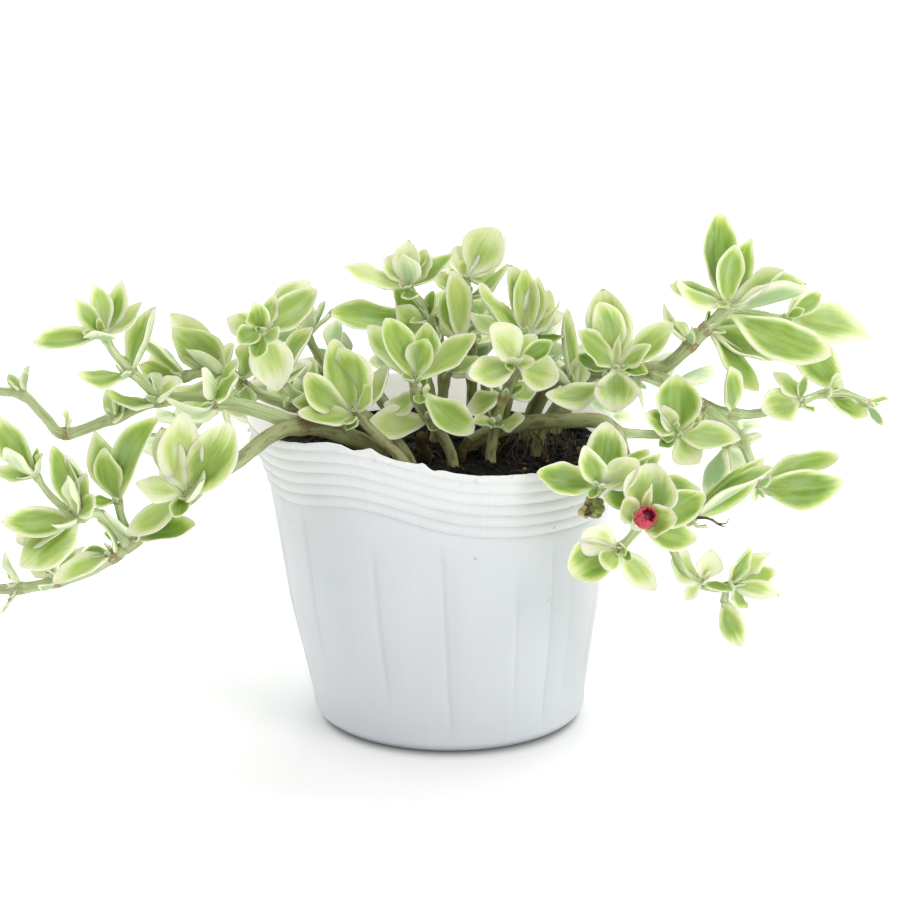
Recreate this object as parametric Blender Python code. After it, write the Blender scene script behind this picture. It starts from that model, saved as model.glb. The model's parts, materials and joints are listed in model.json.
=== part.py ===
"""Potted baby sun rose: trailing leafy stems with cream-edged leaves in a thin white nursery pot.

+X is to the right, +Y away from the viewer, +Z up, and the origin is the middle of the pot's base.
Plant and pot are laid out in millimetres and turned into metres when a mesh is made.
"""

import math
import random
from dataclasses import dataclass, field, replace
from typing import Iterable

import bmesh
import bpy
from mathutils import Matrix, Vector
from mathutils.bvhtree import BVHTree

MM = 0.001
GAP = 0.3                       # what touching pieces keep between them

POT_HEIGHT = 95.5
POT_WALL = 1.0
POT_SIDES = 30                  # two columns to each upright crease
POT_BASE_THICK = 1.2
POT_LEAN = -4.5                 # the soft rim's centre stands this far to the left
BAND_BOTTOM = 74.0
BAND_RIBS = 5
RIB_DEPTH = 0.5
RIB_CREST = 0.2                 # how far a rib's crest stands out
RIM_PLAIN = 2.5                 # the rim's plain edge above the ribs
CREASE_DEPTH = 0.45
CREASE_TURN = math.radians(6)   # brings one crease to the front
FOOT_ROUND = 5.0                # the base edge is rounded up to this height
WALL_OUTLINE = ((0.0, 40.5), (2.0, 42.5), (FOOT_ROUND, 43.8), (37.0, 49.8), (BAND_BOTTOM, 54.2),
                (POT_HEIGHT, 60.0))     # height and outer radius
LIFT_FROM = 40.0                # the wall is pushed out of level above this height
LIFT_TILT = 3.0
LIFT_WAVE = 6.5
WAVE_AT = math.radians(-25.0)   # from the front, positive to the right
WAVE_HALF_WIDTH = math.radians(26.0)
TEAR_WAVES = ((7, 0.5, 0.0), (17, 0.4, 1.0))    # count, height and start of the rough rim's waves
DRAIN_HOLES = 6
DRAIN_RADIUS = 4.0
DRAIN_CIRCLE = 27.0
DRAIN_SIDES = 8

SOIL_LEVEL = 85.5
SOIL_RINGS = (0.0, 16.0, 32.0, 44.0)
SOIL_SIDE = 50.0                # radius at which the soil's side is drawn before it meets the wall
SOIL_WAVES = 0.8
SOIL_BOTTOM = POT_BASE_THICK + GAP
HOLE_PLAY = 2.2 * GAP           # a stem's hole is this much wider all round
HOLE_LENGTH = 24.0

LEAF_THICK = 2.1
LEAF_BOW = 0.07                 # how far the blade's middle hangs below a straight line, by length
LEAF_CUP = 0.22                 # how far the edges stand above the midrib, by half width
LEAF_ROOT = 2.0                 # the root reaches this far back into the stem
LEAF_WIDEST = 1.15              # above one, the widest place lies past the blade's middle
LEAF_FULL = 0.8                 # below one, the outline is fuller than a sine
PETIOLE = 0.2                   # the short leaf stalk's share of the blade's width
LEAF_AROUND = 3                 # a blade's section is its two edges and the keel below them
LEAF_FIRST_CORNER = math.pi / 6 # where a sphere of three sides has its first corner, short of +X
LEAF_STATIONS = (0.0, 0.13, 0.5, 0.8, 1.0)
PAIR_STEP = 0.5                 # leaf pairs of one sprig sit this far apart along its stem
SOCKET = 1.0                    # a leaf starts this far out from its stem's middle
STEM_STEP = 13.0                # a stem's rings lie about this far apart
STEM_BUD = 2.4                  # a stem's closed bud reaches this far past its last leaves
STEM_RESOLUTION = 1             # six sides
BEND_STEPS = (0, 8, -8, 16, -16, 24, -24, 34, -34, 45, -45)     # degrees tried to bend a leaf clear
BEND_ENOUGH = 28.0              # degrees, past which a leaf touches its own node instead
OUTER_HALF = 0.3                # a leaf may touch its own node's leaves nearer to its base than this
SIZE_STEPS = (1.0, 0.86, 0.72)

RULE_BARE_FOOT = 28             # millimetres of stem below the first pair that is set by rule
RULE_BARE_END = 10
RULE_PAIR_STEP = (14, 18)
RULE_PAIR = (17.0, 58.0)        # length, and degrees that it stands off the stem's way
RULE_END_PAIRS = ((17.0, 72.0), (15.0, 46.0), (9.0, 22.0))
RULE_TURN_DRAW = 0.25           # draws either way: the pair's turn, each leaf's turn, opening and length
LEAF_TURN_DRAW = 0.2
OPENING_DRAW = 9.0
LENGTH_DRAW = 0.15

Point = tuple[float, float, float]
Tip = tuple[float, float, float, float]     # a leaf's tip seen from its sprig, and its width


@dataclass(frozen=True)
class Sprig:
    """Leaves that leave a stem at one place; axis is the way their stem grows there."""

    at: Point
    axis: Point
    tips: tuple[Tip, ...]


@dataclass(frozen=True)
class Stem:
    """A stem through hand-placed points, with its radius at both ends."""

    route: tuple[Point, ...]
    radii: tuple[float, float]


@dataclass(frozen=True)
class Shoot:
    """One leafy stem: the first stem stands in the soil and the others branch from it."""

    name: str
    stems: tuple[Stem, ...]
    sprigs: tuple[Sprig, ...] = field(default=())
    seed: int = 0               # above zero, pairs are set along the first stem by rule


SHOOTS = (
    Shoot("shoot_left_trailing", (
        Stem(((-18, -6, 77), (-24, -12, 90), (-36, -22, 99), (-47, -30, 103), (-55, -39, 102.5),
              (-64, -46, 97), (-73, -48, 91), (-80, -50, 86), (-90, -50, 78), (-97, -50, 72),
              (-109, -48, 63), (-121, -46, 58), (-133, -44, 55), (-146, -42, 54), (-157, -40, 52)),
             (2.9, 1.5)),
        Stem(((-47, -29, 103), (-59, -33, 109), (-71, -34, 112), (-89, -32, 112), (-103, -30, 106),
              (-119, -28, 100), (-125, -27, 105), (-132, -26, 112), (-140, -25, 113),
              (-151, -22, 116)), (2.5, 1.3)),
        Stem(((-89, -32, 112), (-94, -33, 118), (-101, -35, 126), (-105, -36, 133)), (1.8, 1.2)),
        Stem(((-98, -50, 71), (-102, -54, 78), (-107, -58, 84), (-112, -60, 83), (-120, -58, 89),
              (-125, -55, 95)), (1.7, 1.0)),
        Stem(((-97, -50, 72), (-100, -50, 80), (-101, -50, 86)), (1.6, 1.0)),
    ), (
        Sprig((-80, -50, 87), (0, -0.6, 0.8), (
            (-1, 2, 27, 12), (15, 0, 24, 13), (6, -9, 8, 10), (-16, -3, 4, 10), (-8, 8, 20, 8),
            (-18, -9, -10, 7))),
        Sprig((-97, -50, 73), (-0.5, -0.6, 0.6), ((18, -6, 13, 7), (-8, -8, 12, 9))),
        Sprig((-101, -50, 85), (-0.2, -0.7, 0.7), ((-7, 4, 22, 8), (-4, -3, 18, 7), (14, -4, 29, 8))),
        Sprig((-103, -49, 68), (-0.6, -0.5, 0.6), ((-18, -6, -10, 7), (3, -9, 14, 8))),
        Sprig((-121, -46, 59), (-0.7, -0.3, 0.6), ((9, 5, 9, 8), (-10, 8, 6, 8))),
        Sprig((-133, -44, 56), (-1, -0.2, 0), ((-6, -2, -10, 5), (-4, -3, 12, 5))),
        Sprig((-156, -40, 53), (-1, -0.1, 0.2), (
            (-3, 3, 14, 8), (-8, -6, -11, 8), (-12, 9, 3, 8), (-9, -11, 4, 8), (-14, -1, 4, 5))),
        Sprig((-112, -60, 83), (-0.5, -0.7, 0.4), (
            (-23, -6, 1, 8), (-18, -6, -14, 13), (-20, 4, -9, 8), (-7, 3, 23, 6), (-3, 0, 21, 6),
            (1, -6, 17, 6), (4, -3, 16, 5), (-6, -12, 2, 6))),
        Sprig((-125, -55, 95), (-0.5, -0.4, 0.7), (
            (-11, 0, 20, 9), (3, -6, 9, 4), (-13, -4, 3, 7), (-8, -9, 11, 7))),
        Sprig((-119, -28, 101), (-0.5, -0.5, 0.5), ((1, -3, 8, 4),)),
        Sprig((-132, -26, 113), (-0.6, 0, 0.8), ((3, 0, 9, 4), (-5, 3, 5, 3))),
        Sprig((-151, -22, 116), (-1, 0, 0.2), ((-6, 2, 12, 6), (-8, -6, 2, 7), (-7, 8, -3, 7),
                                               (-12, 0, 5, 4))),
        Sprig((-89, -32, 112), (-0.8, -0.2, 0.4), ((-17, -4, 1, 8), (-6, 12, 4, 8), (8, -10, 9, 8))),
        Sprig((-72, -35, 113), (-0.8, -0.3, 0.5), (
            (-16, -6, 5, 9), (6, 8, 12, 8), (9, -9, 9, 9), (-4, -10, 12, 8))),
        Sprig((-103, -30, 106), (-0.8, -0.3, 0.5), ((3, -8, 4, 6), (-4, 10, 6, 7))),
        Sprig((-105, -36, 133), (-0.1, -0.6, 0.8), (
            (-3, 2, 17, 6), (5, 3, 18, 7), (12, -4, 13, 6), (6, 5, 11, 7), (-9, 0, 12, 6),
            (-1, -9, 4, 8), (-22, -5, 0, 7), (3, 12, 5, 8))),
        Sprig((-98, -34, 121), (-0.5, -0.3, 0.8), ((-16, -4, 1, 9), (9, 6, 20, 11))),
    )),
    Shoot("shoot_left_middle", (
        Stem(((-20, 8, 77), (-24, 5, 90), (-34, -1, 99), (-47, -8, 103), (-59, -12, 108),
              (-68, -15, 114), (-76, -18, 117), (-83, -20, 116)), (2.3, 1.4)),
    ), (
        Sprig((-83, -20, 116), (-0.8, -0.4, 0.5), (
            (-14, -4, 17, 9), (-10, 8, 6, 8), (-9, -7, -3, 7), (-14, 1, 4, 6))),
        Sprig((-71, -16, 115), (-0.6, -0.5, 0.7), (
            (-15, -6, 18, 11), (-17, 8, 19, 9), (-8, -9, 15, 9), (2, 10, 9, 8), (-19, -8, -5, 8))),
        Sprig((-65, -14, 113), (-0.5, -0.7, 0.3), ((0, -9, -9, 9), (6, 8, 10, 7), (3, -5, 15, 9))),
        Sprig((-50, -9, 104), (-0.6, -0.2, 0.7), ((-5, 12, 12, 8), (2, -9, 10, 7), (8, -4, 16, 8))),
    )),
    Shoot("shoot_left_near", (
        Stem(((-9, -16, 77), (-15, -17, 92), (-29, -16, 104), (-43, -19, 108), (-51, -24, 114),
              (-56, -28, 124), (-57, -30, 133)), (2.0, 1.3)),
    ), (
        Sprig((-57, -30, 133), (-0.1, -0.8, 0.5), (
            (-2, -6, 11, 7), (18, -2, 14, 9), (15, 8, 15, 9), (5, -8, 0, 6), (4, -6, -18, 11),
            (-12, 5, 4, 8), (-8, -8, -2, 6))),
        Sprig((-52, -25, 116), (-0.4, -0.2, 0.9), ((-7, 9, 8, 7), (9, -4, 7, 6), (10, 7, 16, 9))),
        Sprig((-36, -17, 106), (-0.6, -0.1, 0.7), ((-4, 11, 8, 8), (-3, -8, 10, 7))),
    )),
    Shoot("shoot_front_left", (
        Stem(((-11, -27, 77), (-14, -27, 90), (-24, -25.5, 100), (-29, -25, 106)), (2.1, 1.5)),
    ), (
        Sprig((-29, -25, 105), (-0.4, -0.6, 0.7), (
            (-4, -3, 24, 11), (-18, -4, 15, 9), (-19, -8, 2, 9), (-17, 6, 19, 7), (-20, 5, 6, 7),
            (6, -7, 12, 6), (10, 5, 16, 8))),
    )),
    Shoot("shoot_centre", (
        Stem(((2, -13, 77), (0, -13, 90), (-5, -15, 99), (-10, -18, 107), (-11, -20, 115)), (2.0, 1.5)),
    ), (
        Sprig((-11, -20, 115), (0.1, -0.6, 0.8), (
            (-10, -4, 22, 9), (21, -3, 15, 9), (4, -7, 16, 8), (4, 5, 18, 8), (-19, 4, 13, 10))),
        Sprig((-9, -18, 110), (0.1, -0.5, 0.6), ((17, -7, -11, 10), (-12, 4, -5, 8))),
        Sprig((-6, -16, 101), (0.1, -0.6, 0.7), ((-20, -7, 2, 9), (10, -5, 6, 5))),
    )),
    Shoot("shoot_back_left", (
        Stem(((-6, 13, 77), (-4, 12, 92), (-2, 11, 105), (-3, 10, 118), (-8, 8, 130), (-13, 5, 138)),
             (2.1, 1.3)),
        Stem(((-2, 11, 107), (2, 5, 114), (4, 2, 121)), (1.4, 1.1)),
    ), (
        Sprig((-13, 5, 138), (-0.1, -0.4, 0.9), (
            (0, 2, 16, 8), (-1, -4, 13, 7), (4, 1, 14, 7), (-21, -2, 9, 6), (14, -2, 13, 5),
            (-7, 4, 11, 8), (4, 12, 6, 8))),
        Sprig((-7, 8, 127), (-0.3, -0.5, 0.8), ((-32, -4, 5, 8), (8, 12, 8, 8))),
        Sprig((-4, 9, 121), (-0.4, -0.6, 0.7), (
            (-13, -5, 16, 8), (-14, -1, 19, 7), (-11, -9, 13, 9), (9, 10, 6, 8))),
        Sprig((-2.5, 10.5, 112), (-0.1, -0.5, 0.9), ((14, -8, 3, 8), (-14, -5, 7, 8))),
        Sprig((4, 2, 121), (0, -0.3, 1), ((-3, -2, 25, 6), (-5, 5, 17, 6))),
    )),
    Shoot("shoot_back_top", (
        Stem(((6, 27, 77), (7, 27, 95), (7, 26, 112), (6, 24, 126), (5, 22, 137)), (2.0, 1.4)),
    ), (
        Sprig((5, 22, 137), (0.1, -0.8, 0.5), (
            (11, 2, 17, 12), (14, 7, 13, 9), (-3, 4, 11, 9), (-4, 12, 5, 8), (8, 12, 4, 8))),
        Sprig((6, 23, 131), (0.2, -0.4, 0.9), ((10, -6, 15, 7), (-12, 6, 6, 8))),
        Sprig((6.5, 25, 121), (0.1, -0.4, 0.9), ((12, -7, 6, 8), (-11, -8, 9, 8))),
        Sprig((7, 26, 114), (0, 0.3, 0.9), ((11, 9, 7, 8), (-10, 10, 6, 8))),
        Sprig((7, 27, 104), (0, -0.3, 0.9), ((12, -5, 5, 8), (-12, -4, 6, 8))),
    )),
    Shoot("shoot_inner_right", (
        Stem(((17, 9, 77), (17, 7, 92), (20, 4, 108), (24, 2, 123)), (2.0, 1.4)),
    ), (
        Sprig((24, 2, 123), (0.1, -0.3, 1), (
            (-17, -3, 18, 9), (-1, 3, 23, 6), (-5, 7, 23, 8), (4, 4, 20, 5), (11, -4, 15, 7),
            (8, 5, 15, 7), (13, 6, 6, 8), (-19, 5, 8, 8))),
        Sprig((21, 4, 112), (0.2, 0, 1), ((9, 9, 9, 8), (13, -3, 7, 8))),
    )),
    Shoot("shoot_front_right", (
        Stem(((13, -10, 77), (13, -10, 90), (16, -12, 105), (20, -15, 114), (21, -16, 119)), (1.9, 1.4)),
    ), (
        Sprig((21, -16, 119), (0, -0.8, 0.5), (
            (-10, -4, 14, 9), (-16, -8, -2, 10), (13, -8, -3, 9), (6, -6, 3, 4), (0, -8, 4, 4),
            (6, 4, 9, 7), (-17, 4, -5, 7))),
        Sprig((17, -12, 108), (0.1, -0.5, 0.8), ((-12, 3, -6, 9), (11, 4, 2, 8))),
        Sprig((14.5, -11, 98), (0.1, -0.6, 0.8), ((9, -6, 4, 6), (-8, -7, 3, 5))),
    )),
    Shoot("shoot_right_near", (
        Stem(((26, 1, 77), (29, 0, 92), (36, -1, 104), (44, -3, 108), (49, -7, 110), (52, -10, 116)),
             (2.0, 1.5)),
    ), (
        Sprig((52, -10, 116), (0, -0.7, 0.7), (
            (-6, -3, 23, 8), (-5, 7, 25, 12), (-14, -4, 13, 8), (1, -4, 13, 4), (18, -3, 16, 8),
            (12, -6, 9, 6), (-1, -9, -12, 11))),
        Sprig((50, -8, 111), (0, -0.6, 0.6), ((-21, -6, -2, 9), (9, 8, 6, 7))),
        Sprig((40, -2, 106), (0.5, 0, 0.8), ((2, 9, 10, 7), (-14, 5, 13, 9), (-7, 9, 26, 8))),
    )),
    Shoot("shoot_right_top", (
        Stem(((24, 17, 77), (26, 15, 92), (31, 11, 104), (38, 8, 110), (48, 6, 111), (60, 3, 112),
              (68, 0, 114), (76, -2, 122), (81, -4, 128), (87, -6, 135)), (2.9, 1.9)),
        Stem(((64, 1, 112), (71, -4, 109), (77, -9, 106), (83, -14, 102), (90, -19, 97),
              (94, -23, 89), (96, -26, 82)), (2.0, 1.4)),
        Stem(((80, -11, 104), (89, -9, 101), (98, -8, 101), (108, -6, 103), (117, -4, 106),
              (126, -4, 106), (132, -4, 103)), (1.8, 1.0)),
        Stem(((87, -5, 134), (97, 2, 131), (106, 6, 128)), (1.4, 1.0)),
    ), (
        Sprig((87, -6, 135), (0.2, -0.4, 0.9), (
            (-3, 0, 31, 9), (2, -3, 22, 7), (8, 8, 21, 6), (17, -3, 14, 8), (26, 6, 7, 7),
            (-17, -3, 10, 8), (-19, 4, 6, 6), (-3, -7, 2, 4), (4, 14, 4, 8))),
        Sprig((88, -6, 134), (-0.2, 0.6, 0.7), ((25, -8, 8, 11),)),
        Sprig((87, -6, 133), (0.2, -0.7, 0.6), ((33, -9, -11, 11),)),
        Sprig((76, -2, 122), (0.4, 0, 0.9), ((-9, 4, 13, 8), (-8, 8, 5, 7))),
        Sprig((81, -4, 127), (0.5, -0.4, 0.6), ((17, 5, -22, 10), (23, 10, -12, 8), (26, 12, -21, 9))),
        Sprig((106, 6, 128), (0.2, -0.8, 0.5), ((30, 2, -6, 13), (20, -2, -24, 9), (10, 12, 2, 7),
                                               (12, 4, 8, 5))),
        Sprig((89, -9, 101), (0.5, -0.6, 0.5), ((-3, -3, 17, 10),)),
        Sprig((110, -6, 104), (0.6, -0.5, 0.6), ((-14, -6, -3, 10), (-8, 5, 9, 9))),
        Sprig((119, -4, 106), (0.9, -0.4, 0.3), ((14, -4, -5, 8), (6, 9, 2, 7))),
        Sprig((132, -4, 103), (0.9, 0, -0.3), ((5, 2, -7, 4), (8, 4, 0, 4))),
        Sprig((96, -26, 82), (0.8, -0.4, 0.1), ((26, 0, 11, 7), (27, -6, 4, 11), (-2, -5, -3, 4),
                                                (2, -6, -1, 3))),
        Sprig((91, -20, 96), (0.5, -0.5, -0.5), ((6, 10, -3, 7),)),
    )),
    Shoot("shoot_right_front", (
        Stem(((4, 2, 77), (6, 1, 87), (10, -1, 91), (17, -4, 95), (27, -8, 98), (39, -16, 101),
              (48, -26, 103), (52, -36, 101), (53, -44, 97)), (2.9, 1.9)),
        Stem(((53, -43, 97), (50, -50, 93), (45, -54, 91)), (1.7, 1.3)),
        Stem(((53, -43, 97), (57, -50, 90), (58, -55, 85), (57, -60, 81), (54, -62, 77),
              (51, -62, 74)), (1.8, 1.2)),
        Stem(((52, -34, 102), (62, -32, 101), (70, -30, 100)), (1.6, 1.3)),
        Stem(((57, -54, 86), (64, -53, 80), (73, -50, 79)), (1.8, 1.4)),
        Stem(((62, -53, 81), (67, -52, 72), (71, -52, 64), (75, -51, 60), (81, -50, 57),
              (86, -50, 58)), (1.5, 1.1)),
        Stem(((48, -52, 92), (44, -53, 88), (43, -53, 86)), (1.0, 1.4)),
        Stem(((85, -50, 58), (84, -50, 53)), (1.0, 0.9)),
    ), (
        Sprig((45, -54, 91), (-0.1, -0.8, 0.5), (
            (-20, -3, 5, 9), (-5, -5, 15, 7), (3, 4, 20, 12), (12, -5, 10, 9), (15, -1, 13, 5))),
        Sprig((57, -60, 81), (0, -0.8, 0.4), (
            (5, 3, 19, 13), (-6, -6, 10, 7), (12, -5, 3, 8), (18, 2, -6, 8), (21, 4, 9, 9))),
        Sprig((57, -50, 90), (0.4, -0.6, 0.4), ((20, -1, -2, 10), (6, -4, 13, 7))),
        Sprig((58, -60, 84), (0, -0.6, 0.7), ((3, -4, 12, 4),)),
        Sprig((51, -62, 74), (-0.1, -0.9, 0.1), (
            (-11, -5, 7, 10), (-16, -4, -7, 11), (-5, -6, -5, 6), (12, -4, -12, 8), (2, -5, 1, 4))),
        Sprig((57, -53, 87), (-0.3, -0.8, 0.3), ((-11, -6, 4, 7),)),
        Sprig((70, -30, 100), (0.1, -0.7, 0.6), (
            (0, 3, 20, 11), (-5, -3, 11, 5), (20, -5, 1, 8), (7, -8, -6, 9), (-11, -3, 8, 7),
            (6, 10, 4, 8))),
        Sprig((73, -50, 79), (0.8, -0.3, 0.5), ((26, -3, 18, 10), (25, 2, 18, 7))),
        Sprig((77, -51, 59), (0.4, -0.5, 0.7), ((-10, -3, 9, 11), (3, 2, 11, 8), (-5, 1, -6, 4))),
        Sprig((86, -50, 58), (0.6, -0.5, 0.4), (
            (6, -2, 14, 7), (13, 3, 10, 5), (15, 5, 3, 5), (15, -5, -1, 7), (5, -5, -6, 5))),
        Sprig((84, -50, 53), (0.2, -0.4, -0.8), ((6, -2, -15, 8),)),
    )),
    Shoot("shoot_behind_left", (
        Stem(((-16, 22, 77), (-19, 26, 90), (-28, 36, 100), (-38, 47, 103), (-48, 57, 98),
              (-56, 65, 88), (-62, 71, 76)), (2.3, 1.3)),), (), 11),
    Shoot("shoot_behind_far_left", (
        Stem(((-30, 16, 77), (-34, 18, 91), (-44, 23, 100), (-57, 29, 102), (-70, 34, 96),
              (-82, 38, 86), (-92, 41, 77)), (2.2, 1.3)),), (), 12),
    Shoot("shoot_behind_middle", (
        Stem(((-4, 33, 77), (-6, 38, 91), (-9, 47, 101), (-12, 60, 105), (-14, 72, 99),
              (-15, 80, 88), (-15, 85, 76)), (2.3, 1.3)),), (), 13),
    Shoot("shoot_behind_right", (
        Stem(((16, 33, 77), (18, 38, 91), (24, 48, 101), (30, 59, 104), (37, 69, 97),
              (43, 76, 86), (47, 80, 74)), (2.3, 1.3)),), (), 14),
    Shoot("shoot_behind_far_right", (
        Stem(((32, 24, 77), (37, 27, 91), (48, 33, 100), (61, 39, 101), (74, 44, 94),
              (85, 48, 84), (93, 50, 73)), (2.2, 1.3)),), (), 15),
    Shoot("shoot_behind_upright", (
        Stem(((12, 43, 77), (12, 44, 92), (10, 46, 106), (8, 48, 116)), (1.9, 1.4)),), (), 16),
    Shoot("shoot_behind_upright_left", (
        Stem(((-33, 30, 77), (-36, 33, 92), (-42, 37, 105), (-47, 40, 114)), (1.9, 1.4)),), (), 17),
)

BUD_CARRIER = "shoot_right_front"   # the shoot that the bud's cup and the seed capsule grow on
BUD_AT = (58.0, -62.0, 83.0)        # where the red bud leaves its cup
BUD_AXIS = (0.1, -0.93, 0.35)
BUD_LENGTH = 5.5
BUD_OUTLINE = ((0.0, 0.5), (2.05, 0.5), (3.15, 2.0), (3.3, 3.8), (2.65, BUD_LENGTH),
               (1.15, BUD_LENGTH - 0.9), (0.0, BUD_LENGTH - 1.6))     # radius and height
BUD_SIDES = 10
BUD_PETALS = 5
BUD_PINCH = 0.08
CUP_RADII = (1.0, 2.4)
CUP_LENGTH = 5.0
CUP_BELOW = 2.3                     # the cup's middle lies this far below the bud's place
CAPSULE_AT = (43.0, -53.5, 84.0)    # the middle of the old seed capsule
CAPSULE_SIZE = (4.0, 3.6, 3.4)
CAPSULE_RIBS = 4
CAPSULE_RIB_DEPTH = 0.12

MERGE = 0.01                        # millimetres within which turned points are one
SHARP_POT = math.radians(35.0)
SHARP_PLANT = math.radians(50.0)
LEAF_COLOUR = (0.42, 0.60, 0.22)
POT_COLOUR = (0.72, 0.75, 0.77)
SOIL_COLOUR = (0.030, 0.022, 0.013)
BUD_COLOUR = (0.50, 0.02, 0.06)


def clear_scene() -> None:
    """Remove every object of the scene that is open."""
    for item in list(bpy.data.objects):
        bpy.data.objects.remove(item, do_unlink=True)


def finish(name: str, colour: Point, roughness: float) -> bpy.types.Material:
    """Make a plain material.

    Args:
        name: its name.
        colour: linear red, green and blue.
        roughness: of its surface.

    Returns:
        The material.
    """
    material = bpy.data.materials.new(name)
    material.use_nodes = True
    shader = material.node_tree.nodes["Principled BSDF"]
    shader.inputs["Base Color"].default_value = (*colour, 1.0)
    shader.inputs["Roughness"].default_value = roughness
    shader.inputs["Metallic"].default_value = 0.0
    return material


def object_from(name: str, shape: bmesh.types.BMesh) -> bpy.types.Object:
    """Turn a bmesh laid out in millimetres into an object of the scene."""
    bmesh.ops.scale(shape, vec=(MM, MM, MM), verts=shape.verts)
    bmesh.ops.recalc_face_normals(shape, faces=shape.faces)
    mesh = bpy.data.meshes.new(name)
    shape.to_mesh(mesh)
    shape.free()
    item = bpy.data.objects.new(name, mesh)
    bpy.context.scene.collection.objects.link(item)
    return item


def combine(base: bpy.types.Object, others: list[bpy.types.Object], operation: str,
            solver: str) -> None:
    """Apply one Boolean of a collection to an object, then remove what it used.

    Args:
        base: the object that is changed.
        others: what is joined to it or cut from it.
        operation: UNION or DIFFERENCE.
        solver: EXACT or MANIFOLD.
    """
    group = bpy.data.collections.new(base.name + "_pieces")
    for item in others:
        group.objects.link(item)
    boolean = base.modifiers.new("combine", "BOOLEAN")
    boolean.operand_type = "COLLECTION"
    boolean.collection = group
    boolean.operation = operation
    boolean.solver = solver
    bpy.context.view_layer.update()
    evaluated = base.evaluated_get(bpy.context.evaluated_depsgraph_get())
    joined = bpy.data.meshes.new_from_object(evaluated)
    base.modifiers.remove(boolean)
    base.data = joined
    for item in others:
        bpy.data.objects.remove(item, do_unlink=True)
    bpy.data.collections.remove(group)


def drop_scraps(item: bpy.types.Object) -> None:
    """Keep only the largest connected body of an object's mesh."""
    shape = bmesh.new()
    shape.from_mesh(item.data)
    waiting = set(shape.verts)
    bodies = []
    while waiting:
        body = {waiting.pop()}
        edge_of_body = list(body)
        while edge_of_body:
            vertex = edge_of_body.pop()
            fresh = {edge.other_vert(vertex) for edge in vertex.link_edges} & waiting
            waiting -= fresh
            body |= fresh
            edge_of_body += fresh
        bodies.append(body)
    bodies.sort(key=len)
    scraps = [vertex for body in bodies[:-1] for vertex in body]
    bmesh.ops.delete(shape, geom=scraps, context="VERTS")
    shape.to_mesh(item.data)
    shape.free()


def outline_radius(height: float) -> float:
    """Outer radius of the plain wall at a height."""
    for (low, low_radius), (high, high_radius) in zip(WALL_OUTLINE, WALL_OUTLINE[1:]):
        if height <= high:
            share = max(0.0, height - low) / (high - low)
            return low_radius + share * (high_radius - low_radius)
    return WALL_OUTLINE[-1][1]


def lift(height: float, angle: float) -> float:
    """How far the soft wall is pushed up at a height and an angle from the front."""
    share = min(1.0, max(0.0, (height - LIFT_FROM) / (BAND_BOTTOM - LIFT_FROM)))
    share = share * share * (3.0 - 2.0 * share)
    off = (angle - WAVE_AT + math.pi) % math.tau - math.pi
    wave = LIFT_WAVE * math.exp(-(off / WAVE_HALF_WIDTH) ** 2)
    return share * (wave - LIFT_TILT * math.sin(angle))


def leaned(radius: float, height: float, angle: float) -> Vector:
    """The place that a point of the straight pot takes in the soft, leaning one."""
    return Vector((radius * math.sin(angle) + POT_LEAN * height / POT_HEIGHT,
                   -radius * math.cos(angle), height + lift(height, angle)))


def wall_profile() -> list[tuple[float, float]]:
    """Radius and height down the outside, across the base and up the inside."""
    rib = (POT_HEIGHT - RIM_PLAIN - BAND_BOTTOM) / BAND_RIBS
    outer = [(outline_radius(POT_HEIGHT), POT_HEIGHT)]
    for number in range(BAND_RIBS, 0, -1):
        crest = BAND_BOTTOM + (number - 0.35) * rib
        groove = BAND_BOTTOM + (number - 1) * rib
        outer.append((outline_radius(crest) + RIB_CREST, crest))
        outer.append((outline_radius(groove) - RIB_DEPTH, groove))
    low = BAND_BOTTOM - 2.0
    outer += [(outline_radius(low), low)]
    outer += [(radius, height) for height, radius in reversed(WALL_OUTLINE[:4])]
    inner = [(outline_radius(height) - POT_WALL, height)
             for height in (POT_BASE_THICK + 3.0, WALL_OUTLINE[3][0], BAND_BOTTOM, POT_HEIGHT)]
    corner = outline_radius(0.0) - 0.6
    return outer + [(0.0, 0.0), (0.0, POT_BASE_THICK), (corner, POT_BASE_THICK)] + inner


def build_pot() -> bpy.types.Object:
    """Turn the thin pot, pierce its base, then lean, crease and tear it.

    Returns:
        The pot's object.
    """
    shape = bmesh.new()
    points = [shape.verts.new((radius, 0.0, height)) for radius, height in wall_profile()]
    loop = points + points[:1]
    edges = [shape.edges.new(pair) for pair in zip(loop, loop[1:]) if pair[0].co.x + pair[1].co.x > 0]
    bmesh.ops.spin(shape, geom=points + edges, cent=(0, 0, 0), axis=(0, 0, 1), angle=math.tau,
                   steps=POT_SIDES, use_merge=True)
    bmesh.ops.remove_doubles(shape, verts=shape.verts, dist=MERGE)
    bmesh.ops.rotate(shape, verts=shape.verts, matrix=Matrix.Rotation(CREASE_TURN, 3, "Z"))
    pot = object_from("pot", shape)
    combine(pot, [drain_cutter(number) for number in range(DRAIN_HOLES)], "DIFFERENCE", "EXACT")
    for vertex in pot.data.vertices:
        place = vertex.co / MM
        radius = math.hypot(place.x, place.y)
        angle = math.atan2(place.x, -place.y)
        column = round(((math.atan2(place.y, place.x) - CREASE_TURN) % math.tau) / math.tau * POT_SIDES)
        if column % 2 == 0 and FOOT_ROUND < place.z < BAND_BOTTOM - 1.0:
            radius -= CREASE_DEPTH
        height = place.z
        if height > POT_HEIGHT - 1.0:
            height += sum(rise * math.sin(count * angle + start) for count, rise, start in TEAR_WAVES)
        if radius > DRAIN_CIRCLE + 2 * DRAIN_RADIUS:
            vertex.co = leaned(radius, height, angle) * MM
    return pot


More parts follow.
